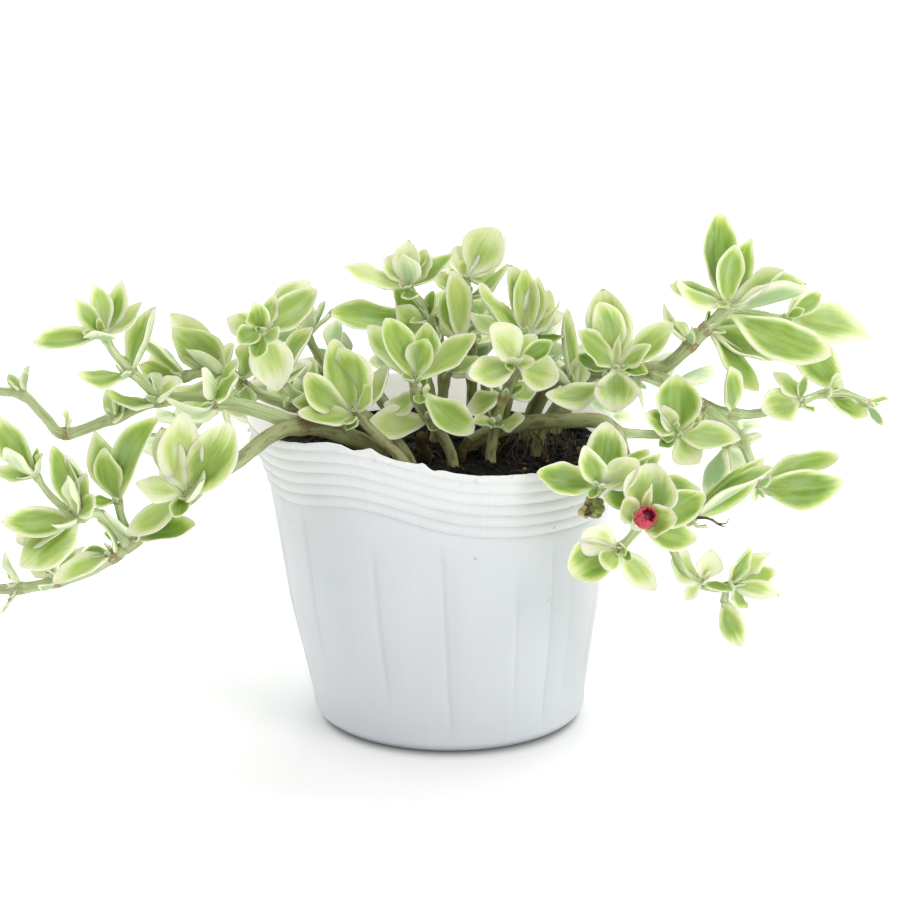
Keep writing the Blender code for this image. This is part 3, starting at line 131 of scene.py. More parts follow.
SHOOTS = (
    Shoot("shoot_left_trailing", (
        Stem(((-18, -6, 77), (-24, -12, 90), (-36, -22, 99), (-47, -30, 103), (-55, -39, 102.5),
              (-64, -46, 97), (-73, -48, 91), (-80, -50, 86), (-90, -50, 78), (-97, -50, 72),
              (-109, -48, 63), (-121, -46, 58), (-133, -44, 55), (-146, -42, 54), (-157, -40, 52)),
             (2.9, 1.5)),
        Stem(((-47, -29, 103), (-59, -33, 109), (-71, -34, 112), (-89, -32, 112), (-103, -30, 106),
              (-119, -28, 100), (-125, -27, 105), (-132, -26, 112), (-140, -25, 113),
              (-151, -22, 116)), (2.5, 1.3)),
        Stem(((-89, -32, 112), (-94, -33, 118), (-101, -35, 126), (-105, -36, 133)), (1.8, 1.2)),
        Stem(((-98, -50, 71), (-102, -54, 78), (-107, -58, 84), (-112, -60, 83), (-120, -58, 89),
              (-125, -55, 95)), (1.7, 1.0)),
        Stem(((-97, -50, 72), (-100, -50, 80), (-101, -50, 86)), (1.6, 1.0)),
    ), (
        Sprig((-80, -50, 87), (0, -0.6, 0.8), (
            (-1, 2, 27, 12), (15, 0, 24, 13), (6, -9, 8, 10), (-16, -3, 4, 10), (-8, 8, 20, 8),
            (-18, -9, -10, 7))),
        Sprig((-97, -50, 73), (-0.5, -0.6, 0.6), ((18, -6, 13, 7), (-8, -8, 12, 9))),
        Sprig((-101, -50, 85), (-0.2, -0.7, 0.7), ((-7, 4, 22, 8), (-4, -3, 18, 7), (14, -4, 29, 8))),
        Sprig((-103, -49, 68), (-0.6, -0.5, 0.6), ((-18, -6, -10, 7), (3, -9, 14, 8))),
        Sprig((-121, -46, 59), (-0.7, -0.3, 0.6), ((9, 5, 9, 8), (-10, 8, 6, 8))),
        Sprig((-133, -44, 56), (-1, -0.2, 0), ((-6, -2, -10, 5), (-4, -3, 12, 5))),
        Sprig((-156, -40, 53), (-1, -0.1, 0.2), (
            (-3, 3, 14, 8), (-8, -6, -11, 8), (-12, 9, 3, 8), (-9, -11, 4, 8), (-14, -1, 4, 5))),
        Sprig((-112, -60, 83), (-0.5, -0.7, 0.4), (
            (-23, -6, 1, 8), (-18, -6, -14, 13), (-20, 4, -9, 8), (-7, 3, 23, 6), (-3, 0, 21, 6),
            (1, -6, 17, 6), (4, -3, 16, 5), (-6, -12, 2, 6))),
        Sprig((-125, -55, 95), (-0.5, -0.4, 0.7), (
            (-11, 0, 20, 9), (3, -6, 9, 4), (-13, -4, 3, 7), (-8, -9, 11, 7))),
        Sprig((-119, -28, 101), (-0.5, -0.5, 0.5), ((1, -3, 8, 4),)),
        Sprig((-132, -26, 113), (-0.6, 0, 0.8), ((3, 0, 9, 4), (-5, 3, 5, 3))),
        Sprig((-151, -22, 116), (-1, 0, 0.2), ((-6, 2, 12, 6), (-8, -6, 2, 7), (-7, 8, -3, 7),
                                               (-12, 0, 5, 4))),
        Sprig((-89, -32, 112), (-0.8, -0.2, 0.4), ((-17, -4, 1, 8), (-6, 12, 4, 8), (8, -10, 9, 8))),
        Sprig((-72, -35, 113), (-0.8, -0.3, 0.5), (
            (-16, -6, 5, 9), (6, 8, 12, 8), (9, -9, 9, 9), (-4, -10, 12, 8))),
        Sprig((-103, -30, 106), (-0.8, -0.3, 0.5), ((3, -8, 4, 6), (-4, 10, 6, 7))),
        Sprig((-105, -36, 133), (-0.1, -0.6, 0.8), (
            (-3, 2, 17, 6), (5, 3, 18, 7), (12, -4, 13, 6), (6, 5, 11, 7), (-9, 0, 12, 6),
            (-1, -9, 4, 8), (-22, -5, 0, 7), (3, 12, 5, 8))),
        Sprig((-98, -34, 121), (-0.5, -0.3, 0.8), ((-16, -4, 1, 9), (9, 6, 20, 11))),
    )),
    Shoot("shoot_left_middle", (
        Stem(((-20, 8, 77), (-24, 5, 90), (-34, -1, 99), (-47, -8, 103), (-59, -12, 108),
              (-68, -15, 114), (-76, -18, 117), (-83, -20, 116)), (2.3, 1.4)),
    ), (
        Sprig((-83, -20, 116), (-0.8, -0.4, 0.5), (
            (-14, -4, 17, 9), (-10, 8, 6, 8), (-9, -7, -3, 7), (-14, 1, 4, 6))),
        Sprig((-71, -16, 115), (-0.6, -0.5, 0.7), (
            (-15, -6, 18, 11), (-17, 8, 19, 9), (-8, -9, 15, 9), (2, 10, 9, 8), (-19, -8, -5, 8))),
        Sprig((-65, -14, 113), (-0.5, -0.7, 0.3), ((0, -9, -9, 9), (6, 8, 10, 7), (3, -5, 15, 9))),
        Sprig((-50, -9, 104), (-0.6, -0.2, 0.7), ((-5, 12, 12, 8), (2, -9, 10, 7), (8, -4, 16, 8))),
    )),
    Shoot("shoot_left_near", (
        Stem(((-9, -16, 77), (-15, -17, 92), (-29, -16, 104), (-43, -19, 108), (-51, -24, 114),
              (-56, -28, 124), (-57, -30, 133)), (2.0, 1.3)),
    ), (
        Sprig((-57, -30, 133), (-0.1, -0.8, 0.5), (
            (-2, -6, 11, 7), (18, -2, 14, 9), (15, 8, 15, 9), (5, -8, 0, 6), (4, -6, -18, 11),
            (-12, 5, 4, 8), (-8, -8, -2, 6))),
        Sprig((-52, -25, 116), (-0.4, -0.2, 0.9), ((-7, 9, 8, 7), (9, -4, 7, 6), (10, 7, 16, 9))),
        Sprig((-36, -17, 106), (-0.6, -0.1, 0.7), ((-4, 11, 8, 8), (-3, -8, 10, 7))),
    )),
    Shoot("shoot_front_left", (
        Stem(((-11, -27, 77), (-14, -27, 90), (-24, -25.5, 100), (-29, -25, 106)), (2.1, 1.5)),
    ), (
        Sprig((-29, -25, 105), (-0.4, -0.6, 0.7), (
            (-4, -3, 24, 11), (-18, -4, 15, 9), (-19, -8, 2, 9), (-17, 6, 19, 7), (-20, 5, 6, 7),
            (6, -7, 12, 6), (10, 5, 16, 8))),
    )),
    Shoot("shoot_centre", (
        Stem(((2, -13, 77), (0, -13, 90), (-5, -15, 99), (-10, -18, 107), (-11, -20, 115)), (2.0, 1.5)),
    ), (
        Sprig((-11, -20, 115), (0.1, -0.6, 0.8), (
            (-10, -4, 22, 9), (21, -3, 15, 9), (4, -7, 16, 8), (4, 5, 18, 8), (-19, 4, 13, 10))),
        Sprig((-9, -18, 110), (0.1, -0.5, 0.6), ((17, -7, -11, 10), (-12, 4, -5, 8))),
        Sprig((-6, -16, 101), (0.1, -0.6, 0.7), ((-20, -7, 2, 9), (10, -5, 6, 5))),
    )),
    Shoot("shoot_back_left", (
        Stem(((-6, 13, 77), (-4, 12, 92), (-2, 11, 105), (-3, 10, 118), (-8, 8, 130), (-13, 5, 138)),
             (2.1, 1.3)),
        Stem(((-2, 11, 107), (2, 5, 114), (4, 2, 121)), (1.4, 1.1)),
    ), (
        Sprig((-13, 5, 138), (-0.1, -0.4, 0.9), (
            (0, 2, 16, 8), (-1, -4, 13, 7), (4, 1, 14, 7), (-21, -2, 9, 6), (14, -2, 13, 5),
            (-7, 4, 11, 8), (4, 12, 6, 8))),
        Sprig((-7, 8, 127), (-0.3, -0.5, 0.8), ((-32, -4, 5, 8), (8, 12, 8, 8))),
        Sprig((-4, 9, 121), (-0.4, -0.6, 0.7), (
            (-13, -5, 16, 8), (-14, -1, 19, 7), (-11, -9, 13, 9), (9, 10, 6, 8))),
        Sprig((-2.5, 10.5, 112), (-0.1, -0.5, 0.9), ((14, -8, 3, 8), (-14, -5, 7, 8))),
        Sprig((4, 2, 121), (0, -0.3, 1), ((-3, -2, 25, 6), (-5, 5, 17, 6))),
    )),
    Shoot("shoot_back_top", (
        Stem(((6, 27, 77), (7, 27, 95), (7, 26, 112), (6, 24, 126), (5, 22, 137)), (2.0, 1.4)),
    ), (
        Sprig((5, 22, 137), (0.1, -0.8, 0.5), (
            (11, 2, 17, 12), (14, 7, 13, 9), (-3, 4, 11, 9), (-4, 12, 5, 8), (8, 12, 4, 8))),
        Sprig((6, 23, 131), (0.2, -0.4, 0.9), ((10, -6, 15, 7), (-12, 6, 6, 8))),
        Sprig((6.5, 25, 121), (0.1, -0.4, 0.9), ((12, -7, 6, 8), (-11, -8, 9, 8))),
        Sprig((7, 26, 114), (0, 0.3, 0.9), ((11, 9, 7, 8), (-10, 10, 6, 8))),
        Sprig((7, 27, 104), (0, -0.3, 0.9), ((12, -5, 5, 8), (-12, -4, 6, 8))),
    )),
    Shoot("shoot_inner_right", (
        Stem(((17, 9, 77), (17, 7, 92), (20, 4, 108), (24, 2, 123)), (2.0, 1.4)),
    ), (
        Sprig((24, 2, 123), (0.1, -0.3, 1), (
            (-17, -3, 18, 9), (-1, 3, 23, 6), (-5, 7, 23, 8), (4, 4, 20, 5), (11, -4, 15, 7),
            (8, 5, 15, 7), (13, 6, 6, 8), (-19, 5, 8, 8))),
        Sprig((21, 4, 112), (0.2, 0, 1), ((9, 9, 9, 8), (13, -3, 7, 8))),
    )),
    Shoot("shoot_front_right", (
        Stem(((13, -10, 77), (13, -10, 90), (16, -12, 105), (20, -15, 114), (21, -16, 119)), (1.9, 1.4)),
    ), (
        Sprig((21, -16, 119), (0, -0.8, 0.5), (
            (-10, -4, 14, 9), (-16, -8, -2, 10), (13, -8, -3, 9), (6, -6, 3, 4), (0, -8, 4, 4),
            (6, 4, 9, 7), (-17, 4, -5, 7))),
        Sprig((17, -12, 108), (0.1, -0.5, 0.8), ((-12, 3, -6, 9), (11, 4, 2, 8))),
        Sprig((14.5, -11, 98), (0.1, -0.6, 0.8), ((9, -6, 4, 6), (-8, -7, 3, 5))),
    )),
    Shoot("shoot_right_near", (
        Stem(((26, 1, 77), (29, 0, 92), (36, -1, 104), (44, -3, 108), (49, -7, 110), (52, -10, 116)),
             (2.0, 1.5)),
    ), (
        Sprig((52, -10, 116), (0, -0.7, 0.7), (
            (-6, -3, 23, 8), (-5, 7, 25, 12), (-14, -4, 13, 8), (1, -4, 13, 4), (18, -3, 16, 8),
            (12, -6, 9, 6), (-1, -9, -12, 11))),
        Sprig((50, -8, 111), (0, -0.6, 0.6), ((-21, -6, -2, 9), (9, 8, 6, 7))),
        Sprig((40, -2, 106), (0.5, 0, 0.8), ((2, 9, 10, 7), (-14, 5, 13, 9), (-7, 9, 26, 8))),
    )),
    Shoot("shoot_right_top", (
        Stem(((24, 17, 77), (26, 15, 92), (31, 11, 104), (38, 8, 110), (48, 6, 111), (60, 3, 112),
              (68, 0, 114), (76, -2, 122), (81, -4, 128), (87, -6, 135)), (2.9, 1.9)),
        Stem(((64, 1, 112), (71, -4, 109), (77, -9, 106), (83, -14, 102), (90, -19, 97),
              (94, -23, 89), (96, -26, 82)), (2.0, 1.4)),
        Stem(((80, -11, 104), (89, -9, 101), (98, -8, 101), (108, -6, 103), (117, -4, 106),
              (126, -4, 106), (132, -4, 103)), (1.8, 1.0)),
        Stem(((87, -5, 134), (97, 2, 131), (106, 6, 128)), (1.4, 1.0)),
    ), (
        Sprig((87, -6, 135), (0.2, -0.4, 0.9), (
            (-3, 0, 31, 9), (2, -3, 22, 7), (8, 8, 21, 6), (17, -3, 14, 8), (26, 6, 7, 7),
            (-17, -3, 10, 8), (-19, 4, 6, 6), (-3, -7, 2, 4), (4, 14, 4, 8))),
        Sprig((88, -6, 134), (-0.2, 0.6, 0.7), ((25, -8, 8, 11),)),
        Sprig((87, -6, 133), (0.2, -0.7, 0.6), ((33, -9, -11, 11),)),
        Sprig((76, -2, 122), (0.4, 0, 0.9), ((-9, 4, 13, 8), (-8, 8, 5, 7))),
        Sprig((81, -4, 127), (0.5, -0.4, 0.6), ((17, 5, -22, 10), (23, 10, -12, 8), (26, 12, -21, 9))),
        Sprig((106, 6, 128), (0.2, -0.8, 0.5), ((30, 2, -6, 13), (20, -2, -24, 9), (10, 12, 2, 7),
                                               (12, 4, 8, 5))),
        Sprig((89, -9, 101), (0.5, -0.6, 0.5), ((-3, -3, 17, 10),)),
        Sprig((110, -6, 104), (0.6, -0.5, 0.6), ((-14, -6, -3, 10), (-8, 5, 9, 9))),
        Sprig((119, -4, 106), (0.9, -0.4, 0.3), ((14, -4, -5, 8), (6, 9, 2, 7))),
        Sprig((132, -4, 103), (0.9, 0, -0.3), ((5, 2, -7, 4), (8, 4, 0, 4))),
        Sprig((96, -26, 82), (0.8, -0.4, 0.1), ((26, 0, 11, 7), (27, -6, 4, 11), (-2, -5, -3, 4),
                                                (2, -6, -1, 3))),
        Sprig((91, -20, 96), (0.5, -0.5, -0.5), ((6, 10, -3, 7),)),
    )),
    Shoot("shoot_right_front", (
        Stem(((4, 2, 77), (6, 1, 87), (10, -1, 91), (17, -4, 95), (27, -8, 98), (39, -16, 101),
              (48, -26, 103), (52, -36, 101), (53, -44, 97)), (2.9, 1.9)),
        Stem(((53, -43, 97), (50, -50, 93), (45, -54, 91)), (1.7, 1.3)),
        Stem(((53, -43, 97), (57, -50, 90), (58, -55, 85), (57, -60, 81), (54, -62, 77),
              (51, -62, 74)), (1.8, 1.2)),
        Stem(((52, -34, 102), (62, -32, 101), (70, -30, 100)), (1.6, 1.3)),
        Stem(((57, -54, 86), (64, -53, 80), (73, -50, 79)), (1.8, 1.4)),
        Stem(((62, -53, 81), (67, -52, 72), (71, -52, 64), (75, -51, 60), (81, -50, 57),
              (86, -50, 58)), (1.5, 1.1)),
        Stem(((48, -52, 92), (44, -53, 88), (43, -53, 86)), (1.0, 1.4)),
        Stem(((85, -50, 58), (84, -50, 53)), (1.0, 0.9)),
    ), (
        Sprig((45, -54, 91), (-0.1, -0.8, 0.5), (
            (-20, -3, 5, 9), (-5, -5, 15, 7), (3, 4, 20, 12), (12, -5, 10, 9), (15, -1, 13, 5))),
        Sprig((57, -60, 81), (0, -0.8, 0.4), (
            (5, 3, 19, 13), (-6, -6, 10, 7), (12, -5, 3, 8), (18, 2, -6, 8), (21, 4, 9, 9))),
        Sprig((57, -50, 90), (0.4, -0.6, 0.4), ((20, -1, -2, 10), (6, -4, 13, 7))),
        Sprig((58, -60, 84), (0, -0.6, 0.7), ((3, -4, 12, 4),)),
        Sprig((51, -62, 74), (-0.1, -0.9, 0.1), (
            (-11, -5, 7, 10), (-16, -4, -7, 11), (-5, -6, -5, 6), (12, -4, -12, 8), (2, -5, 1, 4))),
        Sprig((57, -53, 87), (-0.3, -0.8, 0.3), ((-11, -6, 4, 7),)),
        Sprig((70, -30, 100), (0.1, -0.7, 0.6), (
            (0, 3, 20, 11), (-5, -3, 11, 5), (20, -5, 1, 8), (7, -8, -6, 9), (-11, -3, 8, 7),
            (6, 10, 4, 8))),
        Sprig((73, -50, 79), (0.8, -0.3, 0.5), ((26, -3, 18, 10), (25, 2, 18, 7))),
        Sprig((77, -51, 59), (0.4, -0.5, 0.7), ((-10, -3, 9, 11), (3, 2, 11, 8), (-5, 1, -6, 4))),
        Sprig((86, -50, 58), (0.6, -0.5, 0.4), (
            (6, -2, 14, 7), (13, 3, 10, 5), (15, 5, 3, 5), (15, -5, -1, 7), (5, -5, -6, 5))),
        Sprig((84, -50, 53), (0.2, -0.4, -0.8), ((6, -2, -15, 8),)),
    )),
    Shoot("shoot_behind_left", (
        Stem(((-16, 22, 77), (-19, 26, 90), (-28, 36, 100), (-38, 47, 103), (-48, 57, 98),
              (-56, 65, 88), (-62, 71, 76)), (2.3, 1.3)),), (), 11),
    Shoot("shoot_behind_far_left", (
        Stem(((-30, 16, 77), (-34, 18, 91), (-44, 23, 100), (-57, 29, 102), (-70, 34, 96),
              (-82, 38, 86), (-92, 41, 77)), (2.2, 1.3)),), (), 12),
    Shoot("shoot_behind_middle", (
        Stem(((-4, 33, 77), (-6, 38, 91), (-9, 47, 101), (-12, 60, 105), (-14, 72, 99),
              (-15, 80, 88), (-15, 85, 76)), (2.3, 1.3)),), (), 13),
    Shoot("shoot_behind_right", (
        Stem(((16, 33, 77), (18, 38, 91), (24, 48, 101), (30, 59, 104), (37, 69, 97),
              (43, 76, 86), (47, 80, 74)), (2.3, 1.3)),), (), 14),
    Shoot("shoot_behind_far_right", (
        Stem(((32, 24, 77), (37, 27, 91), (48, 33, 100), (61, 39, 101), (74, 44, 94),
              (85, 48, 84), (93, 50, 73)), (2.2, 1.3)),), (), 15),
    Shoot("shoot_behind_upright", (
        Stem(((12, 43, 77), (12, 44, 92), (10, 46, 106), (8, 48, 116)), (1.9, 1.4)),), (), 16),
    Shoot("shoot_behind_upright_left", (
        Stem(((-33, 30, 77), (-36, 33, 92), (-42, 37, 105), (-47, 40, 114)), (1.9, 1.4)),), (), 17),
)


def smooth_route(route: Iterable[Point], step: float) -> list[Vector]:
    """Points along a smooth curve through a route.

    Args:
        route: the points that the curve passes.
        step: about how far apart the new points lie.

    Returns:
        The new points, with both ends of the route among them.
    """
    knots = [Vector(point) for point in route]
    ghost = [knots[0] * 2 - knots[1], *knots, knots[-1] * 2 - knots[-2]]
    smooth = [knots[0]]
    for before, start, end, after in zip(ghost, ghost[1:], ghost[2:], ghost[3:]):
        count = max(1, round((end - start).length / step))
        for number in range(1, count + 1):
            t = number / count
            smooth.append(0.5 * (2 * start + (end - before) * t
                                 + (2 * before - 5 * start + 4 * end - after) * t ** 2
                                 + (3 * start - 3 * end + after - before) * t ** 3))
    return smooth


def soft_step(value: float, low: float, high: float) -> float:
    """Rise smoothly from zero at low to one at high."""
    share = min(1.0, max(0.0, (value - low) / (high - low)))
    return share * share * (3.0 - 2.0 * share)


def bump_at(value: float, centre: float, width: float) -> float:
    """A smooth hill of height one at a centre."""
    return math.exp(-((value - centre) / width) ** 2)


def mesh_of(name: str, shape: BMesh) -> Mesh:
    """Turn a bmesh, which is used up, into a mesh.

    Args:
        name: the mesh's name.
        shape: the bmesh.

    Returns:
        The mesh.
    """
    mesh = bpy.data.meshes.new(name)
    shape.to_mesh(mesh)
    shape.free()
    return mesh


@cache
def ball(around: int, along: int) -> Mesh:
    """Make the plain ball that long forms are drawn from, once for each count.

    Args:
        around: sides of its section.
        along: steps from pole to pole.

    Returns:
        Its mesh.
    """
    shape = bmesh.new()
    bmesh.ops.create_uvsphere(shape, u_segments=around, v_segments=along, radius=1.0)
    return mesh_of("ball", shape)


@cache
def pebble(subdivisions: int) -> Mesh:
    """Make the plain pebble that crumbs and lumps are copied from, once for each fineness.

    Args:
        subdivisions: how fine it is.

    Returns:
        Its mesh.
    """
    shape = bmesh.new()
    bmesh.ops.create_icosphere(shape, subdivisions=subdivisions, radius=1.0)
    return mesh_of("pebble", shape)


def turn_round(shape: BMesh, points: list[BMVert], edges: list[BMEdge], steps: int) -> None:
    """Turn a profile about the pot's upright axis and join what meets.

    Args:
        shape: the mesh that it is drawn in.
        points: the profile's points.
        edges: its edges.
        steps: how many sides the turned form has.
    """
    bmesh.ops.spin(shape, geom=points + edges, cent=(0, 0, 0), axis=(0, 0, 1), angle=math.tau,
                   steps=steps, use_merge=True)
    bmesh.ops.remove_doubles(shape, verts=shape.verts, dist=MEETS)


def copy_in(shape: BMesh, mesh: Mesh) -> list[BMVert]:
    """Copy a plain form into a mesh.

    Args:
        shape: the mesh that it is added to.
        mesh: the plain form.

    Returns:
        Its vertices there.
    """
    before = len(shape.verts)
    shape.from_mesh(mesh)
    shape.verts.ensure_lookup_table()
    return shape.verts[before:]


def drawn_sphere(shape: BMesh, around: int, along: int,
                 place: Callable[[float, float], Vector]) -> list[tuple[BMVert, float, float]]:
    """Draw a sphere out into a long closed form.

    Args:
        shape: the mesh that it is added to.
        around: sides of its section.
        along: steps from its first pole to its last.
        place: gives the point at an angle and at a share of the way along.

    Returns:
        Each new vertex with its angle and its share of the way.
    """
    marked = []
    for vertex in copy_in(shape, ball(around, along)):
        ring = along - round(along * math.acos(max(-1.0, min(1.0, vertex.co.z))) / math.pi)
        turn = math.atan2(vertex.co.y, vertex.co.x) % math.tau
        share = ring / along
        if ring in (0, along):
            vertex.co = (place(0.0, share) + place(math.pi, share)) / 2
        else:
            vertex.co = place(turn, share)
        marked.append((vertex, turn, share))
    return marked


@dataclass(frozen=True)
class Rail:
    """A route with a steady frame at each point, which a section is carried along."""

    points: tuple[Vector, ...]
    firsts: tuple[Vector, ...]
    seconds: tuple[Vector, ...]
    lengths: tuple[float, ...]

    @classmethod
    def along(cls, points: list[Vector]) -> "Rail":
        """Lay frames along points without twist.

        Args:
            points: the route, evenly stepped.

        Returns:
            The rail.
        """
        ways = [(points[min(i + 1, len(points) - 1)] - points[max(i - 1, 0)]).normalized()
                for i in range(len(points))]
        first = ways[0].orthogonal().normalized()
        firsts, seconds, lengths = [], [], []
        walked = 0.0
        for number, way in enumerate(ways):
            if number:
                first = ways[number - 1].rotation_difference(way) @ first
                walked += (points[number] - points[number - 1]).length
            first = (first - way * first.dot(way)).normalized()
            firsts.append(first)
            seconds.append(way.cross(first))
            lengths.append(walked)
        return cls(tuple(points), tuple(firsts), tuple(seconds), tuple(lengths))

    def steps(self) -> int:
        """How many steps a ball that is drawn along the rail has, with its two closed ends."""
        return len(self.points) + 1

    def number(self, share: float) -> int:
        """The rail's point at a share of the way along such a ball."""
        return min(len(self.points) - 1, max(0, round(share * self.steps()) - 1))

    def on(self, number: int, turn: float, radius: float) -> Vector:
        """The point of a round section at one of the rail's points."""
        out = self.firsts[number] * math.cos(turn) + self.seconds[number] * math.sin(turn)
        return self.points[number] + out * radius


def piece_from(name: str, shape: BMesh, finish: Material, slot: str,
               *nodes: str, fine: int = 0) -> Object:
    """Turn a bmesh in millimetres into a finished piece of the object.

    Args:
        name: the piece's name.
        shape: its mesh, which is used up.
        finish: its material.
        slot: the record's material slot, which is not used.
        nodes: the solids that it stands for.
        fine: levels of subdivision that stay on it.

    Returns:
        The piece, which rides on the object's one body.
    """
    bmesh.ops.scale(shape, vec=(MM, MM, MM), verts=shape.verts)
    bmesh.ops.recalc_face_normals(shape, faces=shape.faces)
    mesh = mesh_of(name, shape)
    mesh.shade_smooth()
    mesh.materials.append(finish)
    piece = bpy.data.objects.new(name, mesh)
    bpy.context.scene.collection.objects.link(piece)
    if fine:
        finer = piece.modifiers.new("finer", "SUBSURF")
        finer.levels = fine
        finer.render_levels = fine
    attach(piece, "root")
    if nodes:
        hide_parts(*nodes)
    log.info("%s: %d faces", name, len(mesh.polygons) * 4 ** fine)
    return piece


class Paint:
    """Short calls that lay out the nodes of one material."""

    def __init__(self, name: str) -> None:
        """Start a material.

        Args:
            name: the material's name.
        """
        self.material = bpy.data.materials.new(name)
        self.material.use_nodes = True
        self.tree = self.material.node_tree
        self.shader = self.tree.nodes["Principled BSDF"]

    def set(self, **values: float | tuple[float, ...]) -> None:
        """Set sockets of the shader itself, with _ for a space in their names."""
        for name, value in values.items():
            self.shader.inputs[name.replace("_", " ")].default_value = value

    def feed(self, name: str, source: NodeSocket) -> None:
        """Lead a socket into one of the shader's."""
        self.tree.links.new(source, self.shader.inputs[name])

    def join(self, target: NodeSocket, source: NodeSocket | float | tuple) -> None:
        """Give an input a socket to read or a plain value.

        Args:
            target: the input.
            source: the socket or the value.
        """
        if isinstance(source, NodeSocket):
            self.tree.links.new(source, target)
        else:
            target.default_value = source

    def attribute(self, name: str) -> list[NodeSocket]:
        """Read one of the piece's attributes.

        Args:
            name: the attribute.

        Returns:
            Its whole vector, then its three parts.
        """
        reader = self.tree.nodes.new("ShaderNodeAttribute")
        reader.attribute_name = name
        parts = self.tree.nodes.new("ShaderNodeSeparateXYZ")
        self.tree.links.new(reader.outputs["Vector"], parts.inputs[0])
        return [reader.outputs["Vector"], *parts.outputs]

    def place(self) -> NodeSocket:
        """The place on the object, in metres."""
        return self.tree.nodes.new("ShaderNodeTexCoord").outputs["Object"]

    def noise(self, where: NodeSocket, scale: float | Point, detail: float = 2.0,
              roughness: float = 0.5, bend: float = 0.0) -> NodeSocket:
        """Even noise about one half.

        Args:
            where: the coordinate.
            scale: how fine it is, the same each way or along each axis.
            detail: octaves.
            roughness: the share of each finer octave.
            bend: how much it is distorted.

        Returns:
            The noise.
        """
        if isinstance(scale, tuple):
            stretched = self.tree.nodes.new("ShaderNodeVectorMath")
            stretched.operation = "MULTIPLY"
            self.join(stretched.inputs[0], where)
            self.join(stretched.inputs[1], scale)
            where, scale = stretched.outputs[0], 1.0
        node = self.tree.nodes.new("ShaderNodeTexNoise")
        self.join(node.inputs["Vector"], where)
        for name, value in (("Scale", scale), ("Detail", detail), ("Roughness", roughness),
                            ("Distortion", bend)):
            node.inputs[name].default_value = value
        return node.outputs[0]

    def cells(self, where: NodeSocket, scale: float) -> NodeSocket:
        """Scatter points.

        Args:
            where: the coordinate.
            scale: how close they lie.

        Returns:
            The distance to the nearest of them.
        """
        node = self.tree.nodes.new("ShaderNodeTexVoronoi")
        self.join(node.inputs["Vector"], where)
        node.inputs["Scale"].default_value = scale
        return node.outputs["Distance"]

    def sum(self, operation: str, first: NodeSocket | float,
            second: NodeSocket | float = 0.0) -> NodeSocket:
        """Work out one step of arithmetic.

        Args:
            operation: Blender's name for it.
            first: its first number.
            second: its second number.

        Returns:
            The result.
        """
        node = self.tree.nodes.new("ShaderNodeMath")
        node.operation = operation
        self.join(node.inputs[0], first)
        self.join(node.inputs[1], second)
        return node.outputs[0]

    def rise(self, value: NodeSocket, low: float, high: float, start: float = 0.0,
             end: float = 1.0) -> NodeSocket:
        """Go smoothly from start at low to end at high.

        Args:
            value: the number that is read.
            low: where the rise begins.
            high: where it ends.
            start: the result below it.
            end: the result above it.

        Returns:
            The result.
        """
        node = self.tree.nodes.new("ShaderNodeMapRange")
        node.interpolation_type = "SMOOTHSTEP"
        self.join(node.inputs["Value"], value)
        for name, number in (("From Min", low), ("From Max", high), ("To Min", start), ("To Max", end)):
            node.inputs[name].default_value = number
        return node.outputs["Result"]

    def mix(self, share: NodeSocket | float, first: NodeSocket | Colour,
            second: NodeSocket | Colour, how: str = "MIX") -> NodeSocket:
        """Mix two colours.

        Args:
            share: of the second colour.
            first: the colour at zero.
            second: the colour at one.
            how: Blender's name for the way they mix.

        Returns:
            The mixed colour.
        """
        node = self.tree.nodes.new("ShaderNodeMix")
        node.data_type = "RGBA"
        node.blend_type = how
        self.join(node.inputs[0], share)
        for socket, colour in ((node.inputs[6], first), (node.inputs[7], second)):
            self.join(socket, (*colour, 1.0) if isinstance(colour, tuple) else colour)
        return node.outputs[2]

    def steps(self, share: NodeSocket, *stops: tuple[float, Colour]) -> NodeSocket:
        """Read a colour off a row of stops.

        Args:
            share: the place in the row.
            stops: places and colours.

        Returns:
            The colour.
        """
        node = self.tree.nodes.new("ShaderNodeValToRGB")
        row = node.color_ramp.elements
        while len(row) < len(stops):
            row.new(1.0)
        for mark, (where, colour) in zip(row, stops):
            mark.position = where
            mark.color = (*colour, 1.0)
        self.join(node.inputs[0], share)
        return node.outputs[0]

    def raise_by(self, height: NodeSocket, depth: float, strength: float = 1.0) -> None:
        """Give the surface fine relief.

        Args:
            height: from zero to one.
            depth: how high one is, in metres.
            strength: how much of it shows.
        """
        node = self.tree.nodes.new("ShaderNodeBump")
        node.inputs["Strength"].default_value = strength
        node.inputs["Distance"].default_value = depth
        self.join(node.inputs["Height"], height)
        self.feed("Normal", node.outputs[0])


